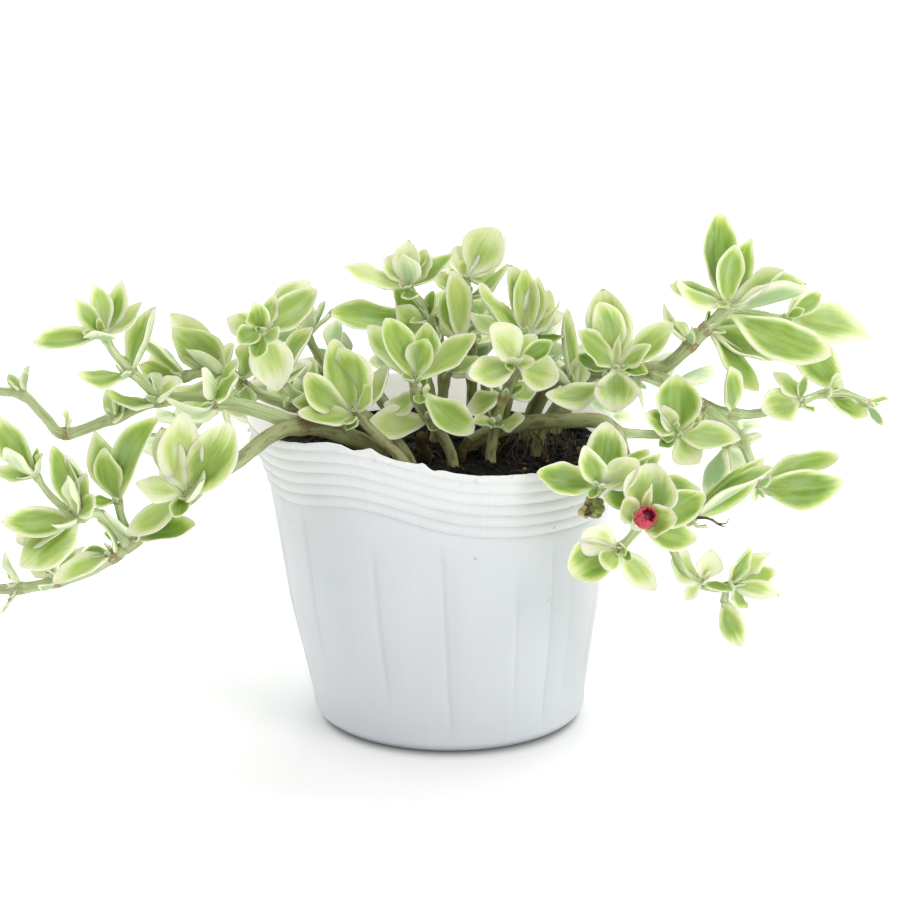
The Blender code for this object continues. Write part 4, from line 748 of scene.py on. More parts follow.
@dataclass(frozen=True)
class LeafFinish:
    """Fleshy leaf: a green middle that runs out into a cream edge, paler and bluer below."""

    name: str = "variegated_leaf"
    cream: Colour = (0.93, 0.95, 0.70)
    lime: Colour = (0.65, 0.76, 0.29)
    green: Colour = (0.385, 0.53, 0.115)
    deep: Colour = (0.195, 0.33, 0.03)
    sage: Colour = (0.40, 0.55, 0.27)
    sage_edge: Colour = (0.74, 0.84, 0.56)
    stalk: Colour = (0.60, 0.72, 0.38)
    scorch: Colour = (0.26, 0.12, 0.04)

    def material(self) -> Material:
        """Lay out the leaf's nodes.

        Returns:
            The material.
        """
        paint = Paint(self.name)
        blade, midway, *_ = paint.attribute("blade")
        _, rim, margin, side = paint.attribute("edge")
        _, tone, along, scorched = paint.attribute("tint")
        feather = paint.noise(blade, (0.55, 0.1, 1.0), detail=3.0, roughness=0.55)
        fleck = paint.noise(blade, (1.9, 0.35, 1.0), detail=2.0)
        push = paint.sum("ADD", paint.sum("MULTIPLY", paint.sum("SUBTRACT", feather, 0.5), 1.5),
                         paint.sum("MULTIPLY", paint.sum("SUBTRACT", fleck, 0.5), 0.6))
        inward = paint.sum("ADD", paint.sum("SUBTRACT", rim, margin), push)
        spread = paint.rise(inward, -0.45, 2.2)
        mottle = paint.noise(blade, (0.42, 0.07, 1.0), detail=2.0, bend=0.3)
        depth = paint.sum("MULTIPLY", spread, paint.rise(mottle, 0.3, 0.7, 0.7, 1.0))
        depth = paint.sum("MULTIPLY", depth, tone)
        below = paint.steps(depth, (0.0, self.cream), (0.25, self.sage_edge), (0.7, self.sage),
                            (1.0, self.sage))
        above = paint.steps(depth, (0.0, self.cream), (0.28, self.lime), (0.62, self.green),
                            (1.0, self.deep))
        bloom = paint.noise(blade, (0.16, 0.13, 1.0), detail=2.0)
        above = paint.mix(paint.rise(bloom, 0.46, 0.66, 0.0, 0.4), above, below)
        midrib = paint.rise(paint.sum("ABSOLUTE", midway), 0.15, 0.9, 0.14, 0.0)
        above = paint.mix(midrib, above, self.lime)
        body = paint.mix(paint.rise(side, -0.35, 0.15), below, above)
        body = paint.mix(paint.rise(along, 0.0, 0.2, 0.75, 0.0), body, self.stalk)
        burnt = paint.sum("MULTIPLY", paint.rise(along, 0.93, 0.99), scorched)
        paint.feed("Base Color", paint.mix(burnt, body, self.scorch))
        grain = paint.noise(paint.place(), 2600.0, detail=1.0)
        vein = paint.noise(blade, (1.4, 0.12, 1.0), detail=2.0)
        paint.feed("Roughness", paint.rise(vein, 0.2, 0.8, 0.34, 0.5))
        relief = paint.sum("ADD", paint.sum("MULTIPLY", grain, 0.35), vein)
        relief = paint.sum("ADD", relief, paint.rise(rim, 0.15, 1.2, 1.1, 0.0))
        paint.raise_by(relief, 0.00026, 0.75)
        paint.set(Subsurface_Weight=0.35, Subsurface_Radius=(1.0, 1.4, 0.35), Subsurface_Scale=0.0016,
                  Specular_IOR_Level=0.45, Sheen_Weight=0.08, Sheen_Roughness=0.4)
        return paint.material


@dataclass(frozen=True)
class StemFinish:
    """Fleshy stem: pale green with streaks, brown at its nodes and olive near the soil."""

    name: str = "streaked_stem"
    pale: Colour = (0.66, 0.74, 0.46)
    green: Colour = (0.44, 0.56, 0.25)
    olive: Colour = (0.30, 0.325, 0.13)
    streak: Colour = (0.31, 0.26, 0.14)
    crust: Colour = (0.17, 0.125, 0.055)
    bark: Colour = (0.28, 0.135, 0.05)

    def material(self) -> Material:
        """Lay out the stem's nodes.

        Returns:
            The material.
        """
        paint = Paint(self.name)
        tube, *_ = paint.attribute("tube")
        _, node, age, _ = paint.attribute("mark")
        streak = paint.noise(tube, (1.1, 1.1, 0.09), detail=3.0, roughness=0.55)
        patch = paint.noise(tube, (0.35, 0.35, 0.14), detail=2.0)
        fleck = paint.noise(tube, (2.0, 2.0, 1.6), detail=2.0)
        skin = paint.mix(paint.rise(streak, 0.36, 0.66), self.green, self.pale)
        skin = paint.mix(paint.sum("MULTIPLY", paint.rise(patch, 0.5, 0.7), 0.35), skin, self.olive)
        uneven = paint.sum("MULTIPLY", paint.sum("SUBTRACT", streak, 0.5), 0.9)
        aged = paint.rise(paint.sum("ADD", age, uneven), 0.25, 1.0)
        skin = paint.mix(paint.sum("MULTIPLY", aged, 0.85), skin, self.olive)
        rough = paint.noise(tube, (0.6, 0.6, 0.16), detail=4.0)
        rough = paint.sum("MULTIPLY", paint.rise(rough, 0.5, 0.62, 0.0, 0.75), aged)
        skin = paint.mix(rough, skin, self.crust)
        line = paint.noise(tube, (2.4, 2.4, 0.06), detail=2.0)
        skin = paint.mix(paint.rise(line, 0.55, 0.65, 0.0, 0.62), skin, self.streak)
        scar = paint.sum("ADD", node, paint.sum("MULTIPLY", paint.sum("SUBTRACT", fleck, 0.6), 1.2))
        some = paint.rise(paint.noise(paint.place(), 70.0, detail=0.0), 0.42, 0.6, 0.25, 0.95)
        scar = paint.sum("MULTIPLY", paint.rise(scar, 0.6, 1.1), some)
        paint.feed("Base Color", paint.mix(scar, skin, self.bark))
        paint.feed("Roughness", paint.rise(streak, 0.3, 0.7, 0.42, 0.6))
        paint.raise_by(paint.sum("ADD", streak, paint.sum("MULTIPLY", fleck, 0.3)), 0.0003, 0.7)
        paint.set(Subsurface_Weight=0.25, Subsurface_Radius=(1.0, 1.3, 0.4), Subsurface_Scale=0.0015,
                  Specular_IOR_Level=0.4)
        return paint.material


@dataclass(frozen=True)
class PotFinish:
    """Thin white plastic: painted shade cools it where the soil stands behind it; scuffed and lightly dirty.
    """

    name: str = "thin_white_plastic"
    # body is painted cooler and darker than band, as shade of the soil behind the thin wall
    body: Colour = (0.70, 0.735, 0.775)
    band: Colour = (0.755, 0.775, 0.77)
    # the inside is painted lighter, as light that comes through the thin wall
    lit_lining: Colour = (0.88, 0.85, 0.82)
    # grey of the painted shade in creases and grooves, also used for the wall's cloudy and drawn streaks
    groove: Colour = (0.56, 0.59, 0.60)
    dirt: Colour = (0.16, 0.12, 0.08)
    glow: float = 0.38          # painted glow of the inside, for the light that comes through the wall

    def material(self) -> Material:
        """Lay out the pot's nodes.

        Returns:
            The material.
        """
        paint = Paint(self.name)
        wall, _, height, sunk_shade = paint.attribute("wall")
        _, outside, _, _ = paint.attribute("shell")
        place = paint.place()
        cloud = paint.noise(place, (60.0, 60.0, 22.0), detail=3.0)
        drawn = paint.noise(wall, (0.9, 0.015, 0.0), detail=2.0)
        # painted shade: darker and cooler low down, where the soil stands behind the wall, lighter towards
        # the rim
        skin = paint.mix(paint.rise(height, 64.0, 84.0), self.body, self.band)
        skin = paint.mix(paint.rise(cloud, 0.35, 0.75, 0.0, 0.12), skin, self.groove)
        skin = paint.mix(paint.rise(drawn, 0.4, 0.8, 0.0, 0.10), skin, self.groove)
        # painted shade in the creases and grooves
        skin = paint.mix(sunk_shade, skin, self.groove)
        # painted light: the inside takes the lighter lining colour
        skin = paint.mix(outside, self.lit_lining, skin)
        speck = paint.rise(paint.cells(place, 260.0), 0.10, 0.16, 1.0, 0.0)
        rare = paint.rise(paint.noise(place, 90.0, detail=1.0), 0.66, 0.72)
        stain = paint.sum("MULTIPLY", paint.rise(height, 88.0, 97.0, 0.0, 0.22),
                          paint.rise(paint.noise(place, 420.0, detail=4.0), 0.58, 0.74))
        dirty = paint.sum("MAXIMUM", paint.sum("MULTIPLY", paint.sum("MULTIPLY", speck, rare), 0.45), stain)
        paint.feed("Base Color", paint.mix(dirty, skin, self.dirt))
        paint.feed("Roughness", paint.rise(cloud, 0.3, 0.7, 0.30, 0.46))
        paint.raise_by(paint.sum("ADD", paint.noise(place, 900.0, detail=3.0), drawn), 0.00006, 0.5)
        paint.set(Subsurface_Weight=0.5, Subsurface_Radius=(1.0, 1.0, 1.0), Subsurface_Scale=0.0025,
                  Specular_IOR_Level=0.5, Emission_Color=(*self.lit_lining, 1.0))
        # painted glow: the inside gives off light as if it came through the wall
        paint.feed("Emission Strength", paint.rise(outside, 0.0, 1.0, self.glow, 0.0))
        return paint.material


@dataclass(frozen=True)
class EarthFinish:
    """Moist dark potting soil and the bits in it."""

    name: str
    dark: Colour
    light: Colour
    scale: float = 700.0
    depth: float = 0.0006
    roughness: float = 0.9

    def material(self) -> Material:
        """Lay out the nodes of soil, bark, grain or root.

        Returns:
            The material.
        """
        paint = Paint(self.name)
        place = paint.place()
        lump = paint.noise(place, self.scale, detail=5.0, roughness=0.65)
        tint = paint.noise(place, self.scale / 5.0, detail=3.0)
        colour = paint.mix(paint.rise(lump, 0.4, 0.7), self.dark, self.light)
        paint.feed("Base Color", paint.mix(paint.rise(tint, 0.4, 0.65, 0.0, 0.6), colour, self.dark))
        paint.raise_by(lump, self.depth)
        paint.set(Roughness=self.roughness, Specular_IOR_Level=0.3)
        return paint.material


POTTING_SOIL = EarthFinish("potting_soil", (0.004, 0.0048, 0.004), (0.016, 0.0155, 0.012))
BARK = EarthFinish("bark_sliver", (0.05, 0.026, 0.012), (0.17, 0.10, 0.05))
GRAIN = EarthFinish("pale_grain", (0.22, 0.18, 0.08), (0.42, 0.36, 0.18))
ROOT = EarthFinish("dry_root", (0.09, 0.05, 0.025), (0.27, 0.17, 0.09))
OLD_STUB = EarthFinish("old_stub", (0.07, 0.045, 0.018), (0.20, 0.16, 0.07), 300.0)
OLD_CAPSULE = EarthFinish("old_capsule", (0.20, 0.22, 0.055), (0.50, 0.52, 0.22), 420.0, 0.0005, 0.6)
DRY_KNOB = EarthFinish("dry_knob", (0.42, 0.34, 0.11), (0.66, 0.60, 0.30), 300.0, 0.0003, 0.7)
DRY_HUSK = EarthFinish("dry_husk", (0.10, 0.075, 0.05), (0.28, 0.22, 0.15))


@dataclass(frozen=True)
class PetalFinish:
    """Crimson petal, pinker and lighter towards its base and edges, with painted shade at its inner end."""

    name: str = "crimson_petal"
    crimson: Colour = (0.56, 0.012, 0.05)
    pink: Colour = (0.74, 0.13, 0.20)
    # painted shade of the bud's closed opening
    opening_shade: Colour = (0.16, 0.004, 0.02)

    def material(self) -> Material:
        """Lay out the petal's nodes.

        Returns:
            The material.
        """
        paint = Paint(self.name)
        _, across, along, inner = paint.attribute("petal")
        veins = paint.noise(paint.place(), (1800.0, 1800.0, 400.0), detail=2.0)
        skin = paint.mix(paint.rise(veins, 0.35, 0.7, 0.0, 0.5), self.crimson, self.pink)
        skin = paint.mix(paint.rise(along, 0.35, 0.0), skin, self.pink)
        skin = paint.mix(paint.rise(across, 0.7, 1.0, 0.0, 0.45), skin, self.pink)
        # painted shade: the inner ends of the petals darken into the opening
        paint.feed("Base Color", paint.mix(inner, skin, self.opening_shade))
        paint.raise_by(veins, 0.00015, 0.6)
        paint.set(Roughness=0.42, Subsurface_Weight=0.25, Subsurface_Radius=(1.0, 0.3, 0.3),
                  Subsurface_Scale=0.0012, Sheen_Weight=0.1)
        return paint.material


class Variety(Enum):
    """How much of a leaf its cream edge takes: width as a share of half the leaf, and depth of green."""

    EDGED = (0.18, 0.86)
    GREEN = (0.12, 1.0)
    PALE = (0.30, 0.56)


@dataclass(frozen=True)
class LeafLook:
    """What sets a leaf apart from the plain blade of the solids."""

    variety: Variety = Variety.EDGED
    twist: float = 0.0          # radians from base to tip
    fold: float = 0.0           # added to the cup
    channel: float = 0.0        # depth of the groove over the midrib
    wave: float = 0.0           # rise and fall of the edges, in millimetres
    waves: float = 2.0
    ruffle: float = 0.0         # in and out of the outline, by half width
    arch: float = 0.0           # how far the middle bends down, by length
    sickle: float = 0.0         # sideways bend by length
    hook: float = 0.0           # bend of the tip towards the upper side, by length
    full: float = 1.0           # below one, the section is fuller than an ellipse
    broad: float = 1.0          # share of the solid's width
    widest: float = 1.15        # above one, the widest place lies past the middle
    fullness: float = 0.8       # below one, the outline is fuller than a sine
    pointed: float = 0.8        # the same past the widest place: above one, the tip is drawn out
    margin: float = 1.0
    tone: float = 1.0           # depth of the green
    soft: float = 1.0           # above one, the cream runs further into the green
    scorched: float = 0.0
    seed: float = 0.0

    @classmethod
    def drawn(cls, draw: random.Random) -> "LeafLook":
        """Draw one leaf's look.

        Args:
            draw: the seeded draws.

        Returns:
            The look.
        """
        variety = draw.choices(list(Variety), (0.54, 0.18, 0.28))[0]
        return cls(variety, twist=draw.uniform(-0.6, 0.6),
                   fold=draw.choice((-0.38, -0.15, 0.05, 0.15, 0.3, 0.55)),
                   channel=draw.uniform(0.3, 0.9), wave=draw.uniform(0.15, 1.0),
                   waves=draw.uniform(1.1, 2.4), ruffle=draw.uniform(0.0, 0.07),
                   arch=draw.uniform(-0.11, 0.08), sickle=draw.uniform(-0.07, 0.07),
                   hook=draw.uniform(-0.6, 0.6), full=draw.uniform(0.7, 0.85),
                   broad=draw.uniform(1.2, 1.46), widest=draw.uniform(0.92, 1.22),
                   fullness=draw.uniform(0.66, 0.82), pointed=draw.uniform(0.72, 1.12),
                   margin=draw.uniform(0.7, 1.35), tone=draw.uniform(0.78, 1.08),
                   soft=draw.uniform(0.75, 1.6),
                   scorched=float(draw.random() < 0.14), seed=draw.uniform(0.0, 100.0))


LEAF_MARKS = ("blade", "edge", "tint")
PLAIN = LeafLook()
HORN = {"variety": Variety.PALE, "broad": 0.85, "widest": 0.62, "pointed": 1.5, "hook": 0.5}
YOUNG = {"twist": 0.0, "sickle": 0.0, "margin": 0.6, "tone": 1.25, "soft": 0.75}
BUD_AT: Point = (57.0, -62.9, 82.5)
# shoots whose leaves are painted paler, as light that lifts their shade
SHADED = ("shoot_centre", "shoot_back_left", "shoot_back_top", "shoot_inner_right", "shoot_front_left",
          "shoot_front_right", "shoot_left_middle")


def leafy_mesh() -> BMesh:
    """Start a mesh with the attributes that the leaf's finish reads.

    Returns:
        The empty mesh.
    """
    shape = bmesh.new()
    for name in LEAF_MARKS:
        shape.verts.layers.float_vector.new(name)
    return shape


@dataclass(frozen=True)
class Blade:
    """One leaf: a thick, cupped and slightly hanging blade from base to tip."""

    base: Vector
    tip: Vector
    up: Vector                  # square to the blade, on its upper side
    width: float
    look: LeafLook = PLAIN
    thick: float = 2.1
    bow: float = 0.07           # how far the middle hangs below a straight line, by length
    cup: float = 0.22           # how far the edges stand above the midrib, by half width
    root: float = 2.0           # the root reaches this far back into the stem
    petiole: float = 0.2
    groove: float = 0.2         # half width of the channel over the midrib, by half width
    hooked_from: float = 0.6    # the share of the length past which the tip bends
    joined: float = 0.3         # below this share of its length the narrow base isn't all cream

    def half_width(self, along: float) -> float:
        """Work out half the blade's width.

        Args:
            along: the share of its length.

        Returns:
            The half width there.
        """
        look = self.look
        turn = math.pi * min(1.0, max(0.0, along)) ** look.widest
        swell = math.sin(turn) ** (look.fullness if turn < math.pi / 2 else look.pointed)
        stalk = self.petiole * min(1.0, (1.0 - along) * 4.0)
        return 0.5 * self.width * look.broad * max(swell, stalk)

    def place(self, around: float, along: float) -> Vector:
        """A point of the leaf's skin.

        Args:
            around: angle about the midrib, from one edge over the upper side.
            along: zero at the base and one at the tip.

        Returns:
            The point in millimetres.
        """
        look, way = self.look, self.tip - self.base
        turn = look.twist * along * min(1.0, max(0.0, along))
        flat = way.cross(self.up).normalized()
        side = flat * math.cos(turn) + self.up * math.sin(turn)
        up = self.up * math.cos(turn) - flat * math.sin(turn)
        half_width = self.half_width(along)
        half_thick = 0.5 * self.thick * min(1.0, 0.45 + 0.06 * self.width)
        half_thick *= min(1.0, 1.25 * (1.0 - along) + 0.2)
        across, over = math.cos(around), math.sin(around)
        rise = math.copysign(abs(over) ** look.full, over) * half_thick
        rise += (self.cup + look.fold) * half_width * across ** 2
        swell = half_width / (0.5 * self.width)
        if over > 0.0:
            rise -= look.channel * swell * bump_at(across, 0.0, self.groove)
        ripple = math.sin(look.waves * math.tau * along + look.seed + 2.1 * across)
        rise += look.wave * swell * abs(across) ** 3 * ripple
        half_width *= 1.0 + look.ruffle * math.sin(2.7 * look.waves * math.tau * along + look.seed * across)
        droop = 4.0 * along * (1.0 - along) * (self.bow + look.arch) * way.length
        rise += look.hook * max(0.0, along - self.hooked_from) ** 2 * way.length - droop
        sway = 4.0 * along * (1.0 - along) * look.sickle * way.length
        return self.base + way * along + side * (across * half_width) + flat * sway + up * rise

    def marks(self) -> list[Vector]:
        """Find where the solid of this leaf, if it has this bend, has corners.

        Returns:
            Seven of the corners, the tip last.
        """
        start = -self.root / (self.tip - self.base).length
        corners = [self.place(around, start + (1.0 - start) * share)
                   for share in (0.5, 0.8) for around in (0.0, math.pi, 1.5 * math.pi)]
        return [*corners, self.tip]

    def add_to(self, shape: BMesh, around: int, along: int) -> None:
        """Add the leaf to a leafy mesh, with what its finish reads.

        Args:
            shape: the mesh.
            around: sides of its section.
            along: steps from base to tip.
        """
        length = (self.tip - self.base).length
        start = -self.root / length

        def onto(turn: float, share: float) -> Vector:
            """The leaf's skin from its root to its tip."""
            return self.place(turn, start + (1.0 - start) * share)

        layers = [shape.verts.layers.float_vector[name] for name in LEAF_MARKS]
        share_of_edge, depth = self.look.variety.value
        depth *= self.look.tone
        margin = 0.5 * self.width * share_of_edge * self.look.margin
        scale = self.look.soft * min(1.3, max(0.3, self.width / 10.0))
        for vertex, turn, share in drawn_sphere(shape, around, along, onto):
            reach = start + (1.0 - start) * share
            half = self.half_width(reach)
            across = 0.0 if share in (0.0, 1.0) else math.cos(turn)
            rim = min(half * (1.0 - abs(across)), (1.0 - reach) * length * 0.45)
            if reach < self.joined:
                rim = max(rim, 0.6 * self.width * share_of_edge * (self.joined - reach) / self.joined)
            vertex[layers[0]] = (across * half, reach * length, self.look.seed)
            vertex[layers[1]] = (rim / scale, margin / scale, math.sin(turn))
            vertex[layers[2]] = (depth, reach, self.look.scorched)


def bent(blade: Blade, turn: float, raise_by: float, size: float) -> Blade:
    """The same leaf turned about its base.

    Args:
        blade: the leaf.
        turn: degrees about its upper side's way.
        raise_by: degrees towards its upper side.
        size: the share of its size that it keeps.

    Returns:
        The bent leaf.
    """
    way = blade.tip - blade.base
    spin = Matrix.Rotation(math.radians(turn), 3, blade.up)
    side = way.cross(blade.up).normalized()
    tilt = Matrix.Rotation(math.radians(raise_by), 3, side)
    way = tilt @ (spin @ way)
    up = (tilt @ blade.up).normalized()
    return replace(blade, tip=blade.base + way * size, up=up, width=blade.width * size)


@dataclass(frozen=True)
class Foliage:
    """Lays out the leaves of a shoot, bent as its solid has them."""

    pair_step: float = 0.5
    socket: float = 1.0
    bends: tuple[int, ...] = (0, 8, -8, 16, -16, 24, -24, 34, -34, 45, -45)
    sizes: tuple[float, ...] = (1.0, 0.86, 0.72)
    near: float = 0.03          # a corner this close to one of the solid's is the same corner
    enough: int = 3             # corners that have to be found
    bare_foot: int = 28         # millimetres of stem below the first pair that is set by rule
    bare_end: int = 10
    pair_gap: tuple[int, int] = (14, 18)
    pair: Pair = (17.0, 58.0)
    end_pairs: tuple[Pair, ...] = ((17.0, 72.0), (15.0, 46.0), (9.0, 22.0))
    new_pairs: tuple[Pair, ...] = ((8.5, 48.0), (5.5, 14.0))    # length, opening
    side_pair: Pair = (13.0, 66.0)
    new_broad: tuple[float, ...] = (1.0, 0.8, 1.0)      # of the new pairs and the side pair
    new_draw: Pair = (0.8, 1.15)
    new_order: int = 2          # they leave the stem one step above the outer leaves
    side_pair_from: int = 6     # sprigs with this many leaves have one more pair
    horn: float = 4.5           # a leaf narrower than this and longer than the next is a horn
    horn_length: float = 11.25
    slim: float = 0.46          # other leaves are at least this broad for their length
    broadest: float = 1.7
    shade_lift_tone: float = 0.84     # painted light: paler green for the leaves in the shade of others
    clear_of_bud: float = 5.0   # a sprig this close to the bud has no young leaves
    clear_of_leaf: float = math.radians(24.0)   # nor does one grow this close to a grown leaf
    turn_draw: float = 0.25
    leaf_draw: float = 0.2
    opening_draw: float = 9.0
    length_draw: float = 0.15

    def laid(self, sprig: Sprig, tip: Tip, order: int) -> Blade:
        """Lay out one leaf of a sprig.

        Args:
            sprig: the sprig.
            tip: the leaf's tip from the sprig, and its width.
            order: the leaf's number in the sprig, outer pairs first.

        Returns:
            The leaf.
        """
        at, axis = Vector(sprig.at), Vector(sprig.axis).normalized()
        end = at + Vector(tip[:3])
        base = at + axis * min(3, order // 2) * self.pair_step
        out = end - base - axis * axis.dot(end - base)
        base += out.normalized() * min(self.socket, 0.5 * out.length)
        way = (end - base).normalized()
        up = axis - way * axis.dot(way)
        if up.length < 0.2:
            up = Vector((0, 0, 1)) - way * way.z
        return Blade(base, end, up.normalized(), tip[3])

    def by_rule(self, shoot: Shoot) -> list[Sprig]:
        """Set crossed pairs of leaves along a shoot's first stem, with seeded draws.

        Args:
            shoot: a shoot whose leaves aren't listed one by one.

        Returns:
            Its sprigs, the last of them at the stem's end.
        """
        draw = random.Random(shoot.seed)
        route = smooth_route(shoot.stems[0].route, 1.0)
        sprigs = []
        turn = draw.uniform(0.0, math.pi)
        number = self.bare_foot
        while number < len(route) - self.bare_end:
            way = (route[number + 1] - route[number - 1]).normalized()
            sprigs.append(Sprig(tuple(route[number]), tuple(way), self.opposite(way, turn, *self.pair, draw)))
            turn += math.pi / 2 + draw.uniform(-self.turn_draw, self.turn_draw)
            number += draw.randint(*self.pair_gap)
        way = (route[-1] - route[-4]).normalized()
        tips: tuple[Tip, ...] = ()
        for length, opening in self.end_pairs:
            tips += self.opposite(way, turn, length, opening, draw)
            turn += math.pi / 2
        sprigs.append(Sprig(tuple(route[-1]), tuple(way), tips))
        return sprigs

    def opposite(self, way: Vector, turn: float, length: float, opening: float,
                 draw: random.Random) -> tuple[Tip, ...]:
        """The tips of two opposite leaves.

        Args:
            way: the way the stem grows.
            turn: the pair's angle about it.
            length: of the leaves, before the draw.
            opening: how far they stand off from the stem's way, in degrees.
            draw: the seeded draws.

        Returns:
            The two tips.
        """
        side = way.orthogonal().normalized()
        tips = []
        for half in (0.0, math.pi):
            about = turn + half + draw.uniform(-self.leaf_draw, self.leaf_draw)
            out = Matrix.Rotation(about, 3, way) @ side
            angle = math.radians(opening + draw.uniform(-self.opening_draw, self.opening_draw))
            reach = length * draw.uniform(1.0 - self.length_draw, 1.0 + self.length_draw)
            tip = (way * math.cos(angle) + out * math.sin(angle)) * reach
            tips.append((tip.x, tip.y, tip.z, 0.5 * reach))
        return tuple(tips)

    def sprigs(self, shoot: Shoot) -> Iterable[Sprig]:
        """The shoot's sprigs, listed or set by rule."""
        return shoot.sprigs or self.by_rule(shoot)

    def trials(self, laid: Blade) -> Iterator[Blade]:
        """Bend a leaf in each way that the solids may have, the least first.

        Args:
            laid: the leaf as laid out.

        Yields:
            The bent leaf.
        """
        steps = sorted(((turn, up) for turn in self.bends for up in self.bends),
                       key=lambda pair: pair[0] ** 2 + pair[1] ** 2)
        for size in self.sizes:
            for turn, up in steps:
                yield bent(laid, turn, up, size)

    def settled(self, laid: Blade, corners: KDTree) -> Blade | None:
        """Find the bend that a leaf has in its solid.

        Args:
            laid: the leaf as laid out.
            corners: the corners of its shoot's solid, in metres.

        Returns:
            The leaf as it is there, or None where the solid leaves it out.
        """
        best, most = None, self.enough - 1
        for trial in self.trials(laid):
            if corners.find(trial.tip * MM)[2] > self.near * MM:
                continue
            marks = trial.marks()
            found = sum(corners.find(mark * MM)[2] < self.near * MM for mark in marks)
            if found > most:
                best, most = trial, found
            if found >= len(marks) - 1:
                break
        return best

    def leaves(self, shoot: Shoot) -> list[Blade]:
        """Lay out a shoot's leaves.

        Args:
            shoot: the shoot.

        Returns:
            The leaves that its solid has, each with a look of its own.
        """
        mesh = frame["nodes"][shoot.name].data
        corners = KDTree(len(mesh.vertices))
        for vertex in mesh.vertices:
            corners.insert(vertex.co, vertex.index)
        corners.balance()
        draw = random.Random(shoot.name)
        leaves = []
        for sprig in self.sprigs(shoot):
            for order, tip in enumerate(sprig.tips):
                look = LeafLook.drawn(draw)
                length, width = Vector(tip[:3]).length, tip[3]
                # painted light: the leaves of shaded shoots get a paler green
                look = replace(look, tone=look.tone * (self.shade_lift_tone if shoot.name in SHADED else 1.0))
                if width < self.horn and length > self.horn_length:
                    look = replace(look, **HORN)
                else:
                    least = self.slim * length / width
                    look = replace(look, broad=min(self.broadest, max(look.broad, least)))
                blade = self.settled(self.laid(sprig, tip, order), corners)
                if blade is None:
                    log.info("%s: no solid for the leaf at %s", shoot.name, sprig.at)
                    continue
                leaves.append(replace(blade, look=look))
            if len(sprig.tips) > 1 and (Vector(sprig.at) - Vector(BUD_AT)).length > self.clear_of_bud:
                leaves += self.young(sprig, draw)
        return leaves

    def young(self, sprig: Sprig, draw: random.Random) -> list[Blade]:
        """Add the small new leaves between a sprig's own.

        Args:
            sprig: the sprig.
            draw: the seeded draws.

        Returns:
            Two or three pairs, the inner one still folded over the bud.
        """
        way = Vector(sprig.axis).normalized()
        turn = draw.uniform(0.0, math.pi)
        leaves = []
        pairs = list(self.new_pairs)
        if len(sprig.tips) >= self.side_pair_from:
            pairs.append(self.side_pair)
        for (length, opening), broad in zip(pairs, self.new_broad):
            for tip in self.opposite(way, turn, length * draw.uniform(*self.new_draw), opening, draw):
                out = Vector(tip[:3])
                if min(out.angle(Vector(own[:3])) for own in sprig.tips) < self.clear_of_leaf:
                    continue
                blade = self.laid(sprig, tip, self.new_order)
                leaves.append(replace(blade, look=replace(LeafLook.drawn(draw), broad=broad, **YOUNG)))
            turn += math.pi / 2
        return leaves


